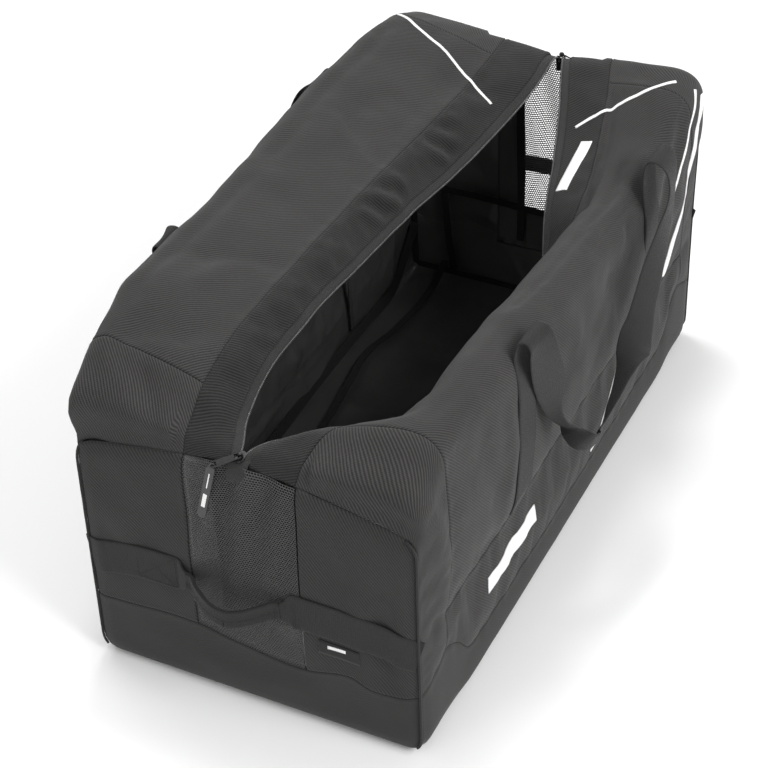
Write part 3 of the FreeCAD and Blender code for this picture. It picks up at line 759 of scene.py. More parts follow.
def end_grid(sign):
    """Rows go up from the floor and columns run with Y."""
    edge = shell.points[:, 0 if sign < 0 else COL_LAST]
    foot_b, foot_f = ROW["back_foot"], ROW["front_foot"]
    up_back = edge[:foot_b - 3][::-1]
    up_front = edge[foot_f + 4:]
    top = np.vstack([up_front, up_back[::-1]])
    high = top[top[:, 2] > 250.0]
    high = high[np.argsort(high[:, 1])]
    bottom = edge[foot_b - 4:foot_f + 5]
    bottom = bottom[np.argsort(bottom[:, 1])]
    half = edge[:, 1].max() - 0.6
    y = np.concatenate([np.linspace(-half, -VENT_HALF, VENT_FIRST + 1),
                        np.linspace(-VENT_HALF, VENT_HALF, VENT_LAST - VENT_FIRST + 1)[1:],
                        np.linspace(VENT_HALF, half, END_SPAN - VENT_LAST + 1)[1:]])
    z_top = np.interp(y, high[:, 1], high[:, 2])
    z_low = np.maximum(np.interp(y, bottom[:, 1], bottom[:, 2]), 0.2)
    z_boot = rail(END_BOOT_WAVE, y) if sign < 0 else rail(END_BOOT_WAVE, -y)
    rows = []
    for k in range(BOOT_ROWS):
        rows.append(z_low + (z_boot - z_low) * k / BOOT_ROWS)
    for k in range(UPPER_ROWS + 1):
        rows.append(z_boot + (z_top - z_boot) * k / UPPER_ROWS)
    z = np.array(rows)
    yy = np.broadcast_to(y, z.shape)
    in_y = np.clip((half - np.abs(yy)) / 22.0, 0.0, 1.0)
    in_z = np.clip((z - z_low) / 26.0, 0.0, 1.0)
    in_t = np.clip((z_top - z) / 24.0, 0.0, 1.0)
    curl = 1.0 - (1.0 - in_y) ** 2.4
    curl = curl * (1.0 - (1.0 - in_z) ** 2.4) * (1.0 - 0.8 * (1.0 - in_t) ** 2.2)
    swell = np.sin(math.pi * np.clip((yy + half) / (2 * half), 0, 1)) ** 0.8 * np.sin(
        math.pi * np.clip(z / 400.0, 0, 1)) ** 0.9
    x = sign * (END_X - 1.4 + 6.5 * curl + 4.0 * swell)
    return np.stack([x, yy, z], axis=-1)


ends = {}
for _end, _sign in ENDS:
    surface = Surface(end_grid(_sign), _sign)
    y, z = surface.points[..., 1], surface.points[..., 2]
    calm = smoothstep(0, 40, z) * smoothstep(0, 45, HALF_WIDE - np.abs(y))
    amount = 1.3 * ripples(y, z, 71 if _sign < 0 else 72, 9, 70.0, 190.0) * calm
    vent = smoothstep(-85, -60, y) * (1 - smoothstep(60, 85, y)) * smoothstep(95, 140, z)
    drape = y * _sign * -1.0 + (z - 240.0) * 0.16
    amount += vent * (2.6 * np.sin(drape / 7.2) * smoothstep(150, 330, z)
                      + 1.6 * np.sin(drape / 12.0 + 1.0))
    if _sign < 0:
        amount += fold(surface.points, [(-472, -178, 250), (-472, -186, 180), (-472, -196, 110),
                                        (-472, -215, 60)], 22.0, -5.0)
        amount += fold(surface.points, [(-472, -120, 350), (-472, -150, 260), (-472, -160, 160)],
                       26.0, 2.6)
        amount += fold(surface.points, [(-472, 120, 350), (-472, 160, 280), (-472, 190, 200)],
                       24.0, 2.4)
        amount += fold(surface.points, [(-472, 100, 60), (-472, 0, 48), (-472, -110, 70)], 22.0, 2.2)
    surface.push(amount)
    ends[_end] = surface
    rows_up = (BOOT_ROWS, BOOT_ROWS + UPPER_ROWS)

    def end_lining(r, c, s=surface, seed=81 if _sign < 0 else 82):
        p = sample(s.points, r, c)
        return np.maximum(1.6 + ripples(p[..., 1], p[..., 2], seed, 8, 50.0, 140.0)
                          + 4.0 * creases(p[..., 1], p[..., 2], seed + 10, 26, (-220, 220, 0, 400),
                                          (30, 80), (6, 13)), 0.1)

    panel("boot_band_%s_cloth" % _end, surface, (0, BOOT_ROWS), (0, END_SPAN), "boot_fabric",
          ["boot_band_" + _end], lining=end_lining)
    panel("end_panel_%s_front_cloth" % _end, surface, rows_up, (0, VENT_FIRST), "end_fabric",
          ["end_panel_%s_front" % _end], lining=end_lining, fine=2)
    panel("end_panel_%s_back_cloth" % _end, surface, rows_up, (VENT_LAST, END_SPAN), "end_fabric",
          ["end_panel_%s_back" % _end], lining=end_lining, fine=2)


# ---- mesh vents ------------------------------------------------------------------
def vent(name, surface, node):
    """Knitted spacer mesh: staggered oval holes, real openings with thin threads between."""
    wide, tall = 44, 90
    top, low = BOOT_ROWS + UPPER_ROWS, BOOT_ROWS
    points, faces, lookup = [], [], {}

    def corner(i, j):
        key = (i, j)
        if key not in lookup:
            lookup[key] = len(points)
            points.append((i / 2.0, j / 2.0, 0.0))
        return lookup[key]

    for j in range(tall):
        shift = j % 2
        for i in range(wide + 1):
            x0 = 2 * i - shift
            ring = [corner(x0 + a, 2 * j + b) for a, b in
                    ((0, 0), (1, 0), (2, 0), (2, 1), (2, 2), (1, 2), (0, 2), (0, 1))]
            cx, cy = x0 / 2.0 + 0.5, j + 0.5
            first = len(points)
            for k in range(8):
                a = math.radians(-135.0 + 45.0 * k)
                points.append((cx + 0.41 * math.cos(a) * 1.06, cy + 0.38 * math.sin(a), 0.0))
            for k in range(8):
                n = (k + 1) % 8
                faces.append((ring[k], ring[n], first + n, first + k))
    flat = np.array(points)
    u = np.clip(flat[:, 0] / wide, 0.0, 1.0)
    v = np.clip(flat[:, 1] / tall, 0.0, 1.0)
    r = low + 0.3 + (top - low - 0.6) * v
    c = VENT_FIRST + 0.25 + (VENT_LAST - VENT_FIRST - 0.5) * u
    world, _ = surface.at(r, c, np.full(len(r), -0.5))
    used = []
    for f in faces:
        area = np.linalg.norm(np.cross(world[f[1]] - world[f[0]], world[f[2]] - world[f[0]]))
        if area > 0.02:
            used.append(f if surface.sign > 0 else f[::-1])
    cloth = surface.cloth_of(r, c)
    obj = add_piece(name, world, used, "vent_mesh", BAG, [node], cloth)
    solid = obj.modifiers.new("thickness", "SOLIDIFY")
    solid.thickness = 0.7 * MM
    solid.offset = 0.0
    return obj


for _end in ("left", "right"):
    vent("end_mesh_%s_cloth" % _end, ends[_end], "end_mesh_" + _end)

# ---- places on the skin ------------------------------------------------------------
def row_where(columns, value, rows, x):
    """Fractional row at which a coordinate takes a value, at each x."""
    c = np.interp(x, COL_X, np.arange(len(COL_X)))
    c0 = np.clip(c.astype(int), 0, len(COL_X) - 2)
    r = np.zeros(c.shape)
    for i in np.ndindex(c.shape):
        found = []
        for k in (c0[i], c0[i] + 1):
            run = columns[rows[0]:rows[1] + 1, k]
            index = np.arange(rows[0], rows[1] + 1)
            if run[0] > run[-1]:
                run, index = run[::-1], index[::-1]
            found.append(np.interp(value[i], run, index))
        f = c[i] - c0[i]
        r[i] = found[0] * (1 - f) + found[1] * f
    return r, c


def on_side(which, x, z, lift=0.0):
    x, z = np.broadcast_arrays(np.asarray(x, float), np.asarray(z, float))
    rows = rows_between(which + "_foot", which + "_shoulder")
    r, c = row_where(shell.points[..., 2], z, rows, x)
    return shell.at(r, c, np.full(r.shape, float(lift)))


def on_top(which, x, y, lift=0.0):
    x, y = np.broadcast_arrays(np.asarray(x, float), np.asarray(y, float))
    rows = rows_between(which + "_zip", which + "_shoulder")
    r, c = row_where(shell.points[..., 1], y, rows, x)
    return shell.at(r, c, np.full(r.shape, float(lift)))


def on_end(end, y, z, lift=0.0):
    y, z = np.broadcast_arrays(np.asarray(y, float), np.asarray(z, float))
    s = ends[end]
    line = s.points[BOOT_ROWS, :, 1]
    c = np.interp(y, line, np.arange(len(line)))
    c0 = np.clip(c.astype(int), 0, len(line) - 2)
    r = np.zeros(c.shape)
    for i in np.ndindex(c.shape):
        f = c[i] - c0[i]
        low, high = (np.interp(z[i], s.points[:, k, 2], np.arange(s.points.shape[0]))
                     for k in (c0[i], c0[i] + 1))
        r[i] = low * (1 - f) + high * f
    return s.at(r, c, np.full(r.shape, float(lift)))


class Parts:
    """Gathers small shapes into one mesh."""

    def __init__(self):
        self.points, self.faces, self.uv, self.material, self.count = [], [], [], [], 0

    def add(self, points, faces, material=0, uv=None):
        points = np.asarray(points, float)
        self.points.append(points)
        self.uv.append(points[:, :2] if uv is None else np.asarray(uv, float))
        self.faces.extend([tuple(int(v) + self.count for v in f) for f in faces])
        self.material.extend([material] * len(faces))
        self.count += len(points)

    def piece(self, name, materials, body=BAG, replaces=(), flat=False):
        return add_piece(name, np.vstack(self.points), self.faces, materials, body, replaces,
                         np.vstack(self.uv), self.material, flat)


def ribbon(parts, path, halves, thick, rib=0.16, pitch=2.4, step=0.6, bow=0.0):
    """Webbing with ribs woven across it, firm edges and a closed section."""
    line = spline(np.column_stack([np.asarray(path, float), np.asarray(halves, float)]), step)
    centre, half = line[:, :3], line[:, 3:]
    ahead = unit(np.gradient(centre, axis=0))
    half = half - ahead * (half * ahead).sum(axis=1, keepdims=True)
    normal = unit(np.cross(ahead, half))
    run = run_of(centre)
    a = np.array([-1.0, -0.96, -0.86, -0.6, -0.3, 0.0, 0.3, 0.6, 0.86, 0.96, 1.0])
    body = np.array([0.25, 0.85, 1.08, 1.0, 1.0, 1.0, 1.0, 1.0, 1.08, 0.85, 0.25]) * thick / 2.0
    wave = rib * np.sin(2 * math.pi * run / pitch)
    rows = len(run)
    lift = body[None, :] + wave[:, None] * (np.abs(a) < 0.97)[None, :]
    cup = bow * (1.0 - a ** 2)[None, :]
    base = centre[:, None] + half[:, None] * a[None, :, None]
    top = base + normal[:, None] * (lift + cup)[..., None]
    low = (base + normal[:, None] * (cup - lift)[..., None])[:, ::-1]
    ring = np.concatenate([top, low], axis=1)
    n = ring.shape[1]
    width = np.linalg.norm(half, axis=1)
    v = np.concatenate([a, a[::-1]])[None, :] * width[:, None]
    uv = np.stack([np.broadcast_to(run[:, None], v.shape), v], axis=-1)
    i = np.arange(rows - 1)[:, None] * n
    j = np.arange(n)[None, :]
    k = (j + 1) % n
    faces = np.stack([i + j, i + k, i + n + k, i + n + j], axis=-1).reshape(-1, 4).tolist()
    faces.append(list(range(n))[::-1])
    faces.append([(rows - 1) * n + q for q in range(n)])
    parts.add(ring.reshape(-1, 3), faces, 0, uv.reshape(-1, 2))
    return centre, normal, half


STITCH = np.array([(-1, -1, 0), (1, -1, 0), (1, 1, 0), (-1, 1, 0), (-0.6, -0.5, 1), (0.6, -0.5, 1),
                   (0.6, 0.5, 1), (-0.6, 0.5, 1)], float)
BLOCK_FACES = [(3, 2, 1, 0), (4, 5, 6, 7), (0, 1, 5, 4), (1, 2, 6, 5), (2, 3, 7, 6), (3, 0, 4, 7)]


def stitches(parts, path, normals, material=0, length=2.7, gap=1.1, wide=0.85, high=0.5):
    path = np.asarray(path, float)
    run = run_of(path)
    spots = np.arange(length / 2.0, run[-1] - length / 2.0 + 1e-6, length + gap)
    at = at_run(spots, run, path)
    n = unit(at_run(spots, run, normals))
    t = unit(at_run(spots + 0.6, run, path) - at_run(spots - 0.6, run, path))
    b = unit(np.cross(n, t))
    for p, ti, bi, ni in zip(at, t, b, n):
        pts = (p + STITCH[:, :1] * ti * length / 2.0 + STITCH[:, 1:2] * bi * wide / 2.0
               + (STITCH[:, 2:] * high - 0.15) * ni)
        parts.add(pts, BLOCK_FACES, material)


def tube(parts, path, radius, sides=8):
    path = np.asarray(path, float)
    ahead = unit(np.gradient(path, axis=0))
    guide = np.array([0.31, 0.17, 0.94])
    a = unit(np.cross(ahead, guide))
    b = np.cross(ahead, a)
    turn = np.linspace(0, 2 * math.pi, sides, endpoint=False)
    ring = (path[:, None] + (a[:, None] * np.cos(turn)[None, :, None]
                             + b[:, None] * np.sin(turn)[None, :, None]) * radius)
    i = np.arange(len(path) - 1)[:, None] * sides
    j = np.arange(sides)[None, :]
    k = (j + 1) % sides
    faces = np.stack([i + j, i + k, i + sides + k, i + sides + j], axis=-1).reshape(-1, 4).tolist()
    faces.append(list(range(sides))[::-1])
    faces.append([(len(path) - 1) * sides + q for q in range(sides)])
    parts.add(ring.reshape(-1, 3), faces)


def sticker(parts, place, corners, lift=0.35, thick=0.45, step=5.0, material=0):
    """A printed shape that follows the cloth: four corners in the skin's own coordinates."""
    q = np.array(corners, float)
    nu = max(2, int(np.linalg.norm(q[1] - q[0]) / step) + 1)
    nv = max(2, int(np.linalg.norm(q[3] - q[0]) / step) + 1)
    u, v = np.meshgrid(np.linspace(0, 1, nu), np.linspace(0, 1, nv), indexing="xy")
    uv = ((1 - u) * (1 - v))[..., None] * q[0] + (u * (1 - v))[..., None] * q[1] + (
        u * v)[..., None] * q[2] + ((1 - u) * v)[..., None] * q[3]
    outer, n = place(uv[..., 0], uv[..., 1], lift)
    inner = outer - n * thick
    facing = np.cross(outer[0, 1] - outer[0, 0], outer[1, 0] - outer[0, 0])
    points, faces, _ = closed_sheet(outer, inner, float(facing @ n[0, 0]) < 0)
    parts.add(points, faces, material)


at_front = partial(on_side, "front")
at_front_top = partial(on_top, "front")
at_back_top = partial(on_top, "back")
at_left_end = partial(on_end, "left")


# ---- zip ---------------------------------------------------------------------------
TOOTH_RINGS = [(-0.62, 0.78), (0.0, 1.0), (0.62, 0.78)]


def tooth_shape():
    points, faces = [(0.0, 0.0, -1.0)], []
    for height, size in TOOTH_RINGS:
        for k in range(6):
            a = math.pi / 3.0 * k
            points.append((math.cos(a) * size, math.sin(a) * size, height))
    points.append((0.0, 0.0, 1.0))
    last = len(points) - 1
    for k in range(6):
        n = (k + 1) % 6
        faces.append((0, 1 + n, 1 + k))
        for ring in range(2):
            a = 1 + ring * 6
            faces.append((a + k, a + n, a + 6 + n, a + 6 + k))
        faces.append((13 + k, 13 + n, last))
    return np.array(points), faces


TOOTH, TOOTH_FACES = tooth_shape()
TAPE_WIDE = 11.0
TOOTH_PITCH = 2.3


def smoothed(values, reach=17):
    """Moving average along a run, with its ends kept."""
    padded = np.concatenate([np.repeat(values[:1], reach, axis=0), values,
                             np.repeat(values[-1:], reach, axis=0)])
    total = np.cumsum(np.vstack([np.zeros((1, values.shape[1])), padded]), axis=0)
    span = 2 * reach + 1
    return (total[span:] - total[:-span]) / span


def zip_side(which):
    """Tape, coil and stitching along one edge of the mouth."""
    edge, inward, inner = (0, 3, 4) if which == "back" else (ROWS - 1, ROWS - 4, ROWS - 5)
    c = np.arange(0.0, COL_LAST + 1e-6, 0.5)
    base = sample(shell.points, np.full(c.shape, float(edge)), c)
    inner_row = sample(shell.points, np.full(c.shape, float(inner)), c)
    n = unit(smoothed(sample(shell.normals, np.full(c.shape, float(inward)), c)))
    away = unit(smoothed(unit(base - inner_row)))
    base = smoothed(base, 5)
    reach = np.array([-1.5, 2.0, 5.0, 8.0, TAPE_WIDE])
    wobble = 0.4 * ripples(base[:, 0], base[:, 0] * 0.0, 91, 5, 30.0, 90.0)
    mid = base[None] + away[None] * reach[:, None, None] - n[None] * (
        1.5 + (wobble[None, :] * (reach / TAPE_WIDE)[:, None])[..., None])
    points, faces, _ = closed_sheet(mid + n[None] * 0.6, mid - n[None] * 0.6, which == "back")
    run = run_of(base)
    uv = np.stack([np.broadcast_to(run[None, :], (5, len(c))),
                   np.broadcast_to(reach[:, None], (5, len(c)))], axis=-1).reshape(-1, 2)
    add_piece("zip_tape_%s_cloth" % which, points, faces, "zip_tape", BAG, ["zip_tape_" + which],
              np.vstack([uv, uv]))
    line = base + away * (TAPE_WIDE + 1.2) - n * (1.5 + wobble[:, None])
    parts = Parts()
    tube(parts, line[::2], 0.8, 6)
    total = run_of(line)
    spots = np.arange(1.0, total[-1] - 1.0, TOOTH_PITCH)
    p = at_run(spots, total, line)
    a, up = unit(at_run(spots, total, away)), unit(at_run(spots, total, n))
    t = unit(np.cross(up, a))
    for i in range(len(spots)):
        shape = (p[i] + TOOTH[:, :1] * t[i] * 0.85 + TOOTH[:, 1:2] * up[i] * 1.35
                 + TOOTH[:, 2:] * a[i] * 2.0)
        parts.add(shape, TOOTH_FACES)
    parts.piece("zip_coil_%s_teeth" % which, "zip_coil", BAG, ["zip_coil_" + which])
    trim = Parts()
    seam_line = base - away * 3.2 + n * 0.05
    stitches(trim, seam_line[6:-6], n[6:-6], 0, 2.4, 1.0, 0.7, 0.4)
    trim.piece("zip_stitch_" + which, "thread")


for _which in ("back", "front"):
    zip_side(_which)

# ---- webbing -----------------------------------------------------------------------
HANDLE_X = (-190.0, 240.0)
WEB_HALF = 25.0
WEB_THICK = 2.3


def web_strip(which, name, x):
    """Flat webbing sewn up the side; its top stands up to the handle's fold."""
    sign = -1.0 if which == "front" else 1.0
    lid = float(rail(dict((r[0], r[2]) for r in RAILS)[which + "_shoulder"], np.array(x)))
    high = np.concatenate([np.arange(193.0, min(lid - 34.0, 418.0), 22.0),
                           [min(lid - 28.0, 424.0)]])
    on, n = on_side(which, np.full(high.shape, x), high, WEB_THICK / 2.0 + 0.4)
    on[:, 0] = x
    path = on.tolist()
    if path[-1][2] < 415.0:
        path.append([x, sign * 236.5, 420.0])
    path += [[x, sign * 236.8, 438.0], [x, sign * 237.4, 448.0], [x, sign * 238.2, 452.4]]
    parts = Parts()
    centre, normal, half = ribbon(parts, path, [(WEB_HALF, 0, 0)] * len(path), WEB_THICK)
    out = np.sign((normal[:, 1] * sign).sum()) or 1.0
    lower = centre[:, 2] < min(lid - 40.0, 410.0)
    for side in (-1.0, 1.0):
        edge = centre + half * 0.9 * side + normal * out * WEB_THICK * 0.56
        stitches(parts, edge[lower], (normal * out)[lower], 1)
    parts.piece("%s_web" % name, ("webbing", "thread"), BAG, [name])


for _which in ("front", "back"):
    for _side, _x0 in zip(("left", "right"), HANDLE_X):
        web_strip(_which, "strip_%s_%s" % (_which, _side), _x0)


def carry_handle(which):
    """One loop of webbing from strip to strip: it falls outward, twists on edge and buckles once."""
    sign = -1.0 if which == "front" else 1.0
    left, right = HANDLE_X
    w = WEB_HALF
    route = [
        ((left, 238.2, 450.4), (w, 0, 0)),
        ((left, 239.6, 457.0), (w, 0, 0)),
        ((left, 244.0, 464.5), (w, 0, 0)),
        ((left, 251.5, 466.5), (w, 0, 0)),
        ((left + 1, 258.5, 459.5), (w, 3, 1)),
        ((left + 7, 261, 437), (24, 7, 3)),
        ((left + 22, 260, 400), (22, 10, 7)),
        ((left + 42, 258, 360), (22, 10, 7)),
        ((left + 59, 257, 326), (24, 5, 3)),
        ((left + 69, 259, 300), (23, -2, -6)),
        ((left + 74, 265, 281), (17, -10, -13)),
        ((left + 77, 277, 264), (6, -14, -19)),
        ((left + 83, 289, 250), (4, -12, -21)),
        ((left + 96, 296, 244), (12, -6, -21)),
        ((left + 114, 299, 250), (18, -6, -16)),
        ((left + 150, 300, 266), (18, -11, -13)),
        ((left + 182, 299, 277), (17, -14, -11)),
        ((left + 208, 298, 286), (15, -18, -5)),
        ((left + 228, 296, 292), (7, -23, 4)),
        ((left + 246, 293, 297), (-8, -19, 13)),
        ((right - 163, 290, 305), (-14, -14, 14)),
        ((right - 137, 286, 321), (-18, -10, 13)),
        ((right - 100, 282, 347), (-16, -8, 17)),
        ((right - 56, 279, 380), (-18, -2, 17)),
        ((right - 26, 277, 410), (-20, 3, 15)),
        ((right - 9, 271, 436), (-23, 3, 9)),
        ((right - 1, 262, 454), (-w, 0, 3)),
        ((right, 254, 462), (-w, 0, 0)),
        ((right, 245, 462), (-w, 0, 0)),
        ((right, 239.6, 456.0), (-w, 0, 0)),
        ((right, 238.2, 450.4), (-w, 0, 0)),
    ]
    path = [(x, sign * y, z) for (x, y, z), _ in route]
    halves = [(hx, sign * hy, hz) for _, (hx, hy, hz) in route]
    parts = Parts()
    ribbon(parts, path, halves, WEB_THICK, bow=0.8)
    obj = parts.piece("handle_%s_web" % which, "webbing", None, ["handle_" + which])
    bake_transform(obj)
    return obj


for _which in ("front", "back"):
    carry_handle(_which)

STRAP_HALF = 27.0
STRAP_MID = {"left": 192.0, "right": 224.0}
GRAB_ROOT = {"front": -64.0, "back": 94.0}
GRAB_HALF = 13.5
GRAB_X = 483.0
# Share of the way along the loop, how far it stands out and how far it droops.
GRAB_LOOP = {
    "left": [(0.0, 0.0, 0.0), (0.06, 1.0, 0.5), (0.16, 10.0, 4.0), (0.34, 21.0, 12.0),
             (0.5, 25.0, 16.0), (0.66, 22.0, 13.0), (0.84, 11.0, 5.0), (0.94, 1.0, 0.5),
             (1.0, 0.0, 0.0)],
    "right": [(0.0, 0.0, 0.0), (0.06, 1.0, 0.5), (0.16, 11.0, 3.0), (0.34, 22.0, 8.0),
              (0.5, 26.0, 10.0), (0.66, 22.0, 8.0), (0.84, 11.0, 3.0), (0.94, 1.0, 0.5),
              (1.0, 0.0, 0.0)],
}


def end_strap(end, sign):
    mid = STRAP_MID[end]
    for name, root, step in (("front", GRAB_ROOT["front"], 1.0), ("back", GRAB_ROOT["back"], -1.0)):
        reach = np.linspace(226.0, abs(root), 9)
        y = -step * reach
        droop = 20.0 * np.clip((np.abs(y) - 120.0) / 105.0, 0, 1) ** 1.6
        on, n = on_end(end, y, mid - droop, WEB_THICK / 2.0 + 0.3)
        on[:, 0] = sign * np.maximum.accumulate(np.abs(on[:, 0]))
        path = on.tolist()
        halves = [(0, 0, STRAP_HALF)] * len(path)
        base = abs(path[-1][0])
        path += [(sign * (base + 1.5), root + step * 5.0, mid - 0.5),
                 (sign * (GRAB_X - 2.5), root + step * 10.0, mid - 0.5),
                 (sign * GRAB_X, root + step * 16.0, mid)]
        halves += [(0, 0, STRAP_HALF * 0.86), (0, 0, GRAB_HALF * 1.25), (0, 0, GRAB_HALF)]
        parts = Parts()
        ribbon(parts, path, halves, WEB_THICK)
        near, far = root - step * 3.0, root - step * 58.0
        z0, z1 = mid - 23.0, mid + 23.0
        runs = [((near, z0), (far, z0)), ((far, z0), (far, z1)), ((far, z1), (near, z1)),
                ((near, z1), (near, z0)), ((near, z0), (far, z1)), ((near, z1), (far, z0))]
        for (ya, za), (yb, zb) in runs:
            t = np.linspace(0, 1, 12)
            yy, zz = ya + (yb - ya) * t, za + (zb - za) * t
            line, nn = on_end(end, yy, zz, WEB_THICK + 0.45)
            stitches(parts, line, nn, 1)
        parts.piece("end_strap_%s_%s_web" % (end, name), ("webbing", "thread"), BAG,
                    ["end_strap_%s_%s" % (end, name)])


def grab_handle(end, sign):
    """Webbing folded along its length and sewn, in two halves that meet in the middle."""
    mid = STRAP_MID[end]
    start, stop = GRAB_ROOT["front"] + 14.5, GRAB_ROOT["back"] - 14.5
    middle = (start + stop) / 2.0
    loop = GRAB_LOOP[end]
    full = np.array([(sign * (GRAB_X + out), start + (stop - start) * t, mid - drop)
                     for t, out, drop in loop])
    line = spline(full, 2.0)
    for name, keep, root, cut, way in (
            ("front", line[:, 1] <= middle + 1.0, start, -1, 1.0),
            ("back", line[:, 1] >= middle - 1.0, stop, 0, -1.0)):
        path = line[keep]
        path[cut, 1] = middle
        route = path[::3].tolist()
        if (len(path) - 1) % 3:
            route.append(path[-1].tolist())
        parts = Parts()
        centre, normal, half = ribbon(parts, route, [(0, 0, GRAB_HALF)] * len(route), 4.8, bow=0.6)
        out = np.sign((normal[:, 0] * sign).sum()) or 1.0
        stitches(parts, centre - half * 0.25 + normal * out * 3.1, normal * out, 1)
        obj = parts.piece("grab_handle_%s_%s" % (end, name), ("webbing", "thread"), None,
                          ["grab_handle_" + end])
        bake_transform(obj)


for _end, _sign in ENDS:
    end_strap(_end, _sign)
    grab_handle(_end, _sign)


# ---- zip pulls and small trim --------------------------------------------------------
for _side in ("left", "right"):
    for _node, _mat, _round in (("slider_" + _side, "zip_metal", 0.45),
                                ("pull_link_" + _side, "zip_metal", 0.3),
                                ("pull_tab_" + _side, "pull_rubber", 0.7)):
        _obj = frame["nodes"][_node]
        if not _obj.material_slots:
            _obj.data.materials.append(MATERIAL[_mat])
        for _slot in _obj.material_slots:
            _slot.material = MATERIAL[_mat]
        _bevel = _obj.modifiers.new("edge", "BEVEL")
        _bevel.width = _round * MM
        _bevel.segments = 2
        _bevel.limit_method = "ANGLE"


def slab(parts, centre, axes, sizes):
    """A thin plate with its edges drawn in, on three axes."""
    u, v, w = (np.array(a, float) for a in axes)
    a, b, c = sizes
    ring = [(-1, -1), (1, -1), (1, 1), (-1, 1)]
    pts = [np.array(centre) + u * a * p + v * b * q for p, q in ring]
    pts += [np.array(centre) + u * (a - 0.2) * p + v * (b - 0.2) * q + w * c for p, q in ring]
    parts.add(pts, BLOCK_FACES)


HINGE_PLACE = {joint["name"]: joint["pos_m"] for joint in frame["joints"] if "pos_m" in joint}
TAB_LEAN = math.radians(14.0)
for _side, _sign in ENDS:
    _down = np.array([0.0, -_sign * math.sin(TAB_LEAN), -math.cos(TAB_LEAN)])
    _across = np.array([0.0, math.cos(TAB_LEAN), -_sign * math.sin(TAB_LEAN)])
    _face = np.array([_sign, 0.0, 0.0])
    _start = np.array(HINGE_PLACE[_side + "_tab_hinge"]) / MM + _face * 1.15
    _parts = Parts()
    slab(_parts, _start + _down * 27.0, (_down, _across, _face), (12.5, 0.75, 0.35))
    slab(_parts, _start + _down * 61.0, (_down, _across, _face), (11.0, 2.6, 0.35))
    _parts.piece("pull_mark_" + _side, "print", _side + "_tab", (), True)


def end_tab(end, sign):
    """Webbing folded over the end of the zip."""
    edge = shell.points[0, 0 if sign < 0 else COL_LAST]
    other = shell.points[ROWS - 1, 0 if sign < 0 else COL_LAST]
    y = (edge[1] + other[1]) / 2.0
    z = (edge[2] + other[2]) / 2.0
    path = [(sign * 461.0, y, z + 2.8), (sign * 467.0, y, z + 0.6), (sign * 472.5, y, z - 5.0),
            (sign * 474.5, y, z - 13.0), (sign * 475.0, y, z - 23.0)]
    parts = Parts()
    ribbon(parts, path, [(0, 13.0, 0)] * 5, 2.4, rib=0.06, pitch=1.4)
    parts.piece("zip_end_tab_%s_web" % end, "end_tab", BAG, ["zip_end_tab_" + end])


for _end, _sign in ENDS:
    end_tab(_end, _sign)

_parts = Parts()
sticker(_parts, at_left_end, [(-150, 133), (-96, 136), (-96, 158), (-150, 155)], 1.1, 1.0, 4.0, 0)
sticker(_parts, at_left_end, [(-108, 146.5), (-132, 146.5), (-132, 151.5), (-108, 151.5)],
        1.35, 0.5, 3.0, 1)
_parts.piece("label_left_woven", ("label", "print"), BAG, ["label_left"])

# ---- white print and stitching -------------------------------------------------------
PRINT_LIFT, PRINT_THICK, PRINT_STEP = 1.3, 1.4, 2.5
THIN_STRIPE, BROAD_STRIPE = 4.0, 12.0


def printed(name, place, corners):
    parts = Parts()
    sticker(parts, place, corners, PRINT_LIFT, PRINT_THICK, PRINT_STEP)
    parts.piece(name, "print")


def stripe(name, place, width, start, end):
    """A straight printed stripe of even width between two points of a panel."""
    a, b = np.array(start, float), np.array(end, float)
    d = (b - a) / np.linalg.norm(b - a)
    side = np.array([-d[1], d[0]]) * width / 2
    printed(name, place, [a - side, b - side, b + side, a + side])


def plain_bar(name, place, corner, length, height):
    """A plain printed bar."""
    x, other = corner
    printed(name, place, [(x, other), (x + length, other), (x + length, other + height),
                          (x, other + height)])


stripe("stripe_back_top", at_back_top, THIN_STRIPE, (325, 30), (405, 210))
stripe("stripe_front_top", at_front_top, THIN_STRIPE, (330, -95), (425, -205))
stripe("stripe_front_side", at_front, THIN_STRIPE, (435, 445), (65, 80))
stripe("stripe_front_corner", at_front, BROAD_STRIPE, (445, 430), (330, 200))
plain_bar("mark_front_side", at_front, (-285, 120), 150, 26)
plain_bar("mark_front_top", at_front_top, (215, -130), 90, 16)


def seam_stitches(name, rows, column, shift):
    r = np.arange(rows[0] + 0.6, rows[1] - 0.6, 0.5)
    p, n = shell.at(r, np.full(r.shape, column + shift), np.full(r.shape, 0.05))
    parts = Parts()
    stitches(parts, p, n, 0, 2.6, 1.6, 0.8, 0.45)
    parts.piece(name, "thread")


for _side, _col, _shift in (("left", COL_LEFT, 0.75), ("right", COL_RIGHT, -0.75)):
    for _which in ("back", "front"):
        seam_stitches("yoke_stitch_%s_%s" % (_side, _which),
                      rows_between(_which + "_seam", _which + "_boot"), _col, _shift)

# ---- corner piping and bound seams inside ----------------------------------------------
for _end, _sign in ENDS:
    _column = 0 if _sign < 0 else COL_LAST
    for _which in ("front", "back"):
        _a, _b = rows_between(_which + "_foot", _which + "_shoulder")
        _line = shell.points[_a:_b + 1, _column] + shell.normals[_a:_b + 1, _column] * 0.2
        _line = _line + np.array([_sign * 1.4, 0, 0])
        _line = spline(_line, 4.0)
        _parts = Parts()
        tube(_parts, _line, 1.7, 8)
        _parts.piece("corner_cord_%s_%s" % (_end, _which), "end_tab")


def bound(parts, path, half, thick=1.6):
    ribbon(parts, path, [half] * len(path), thick, rib=0.05, pitch=1.4, step=3.0)


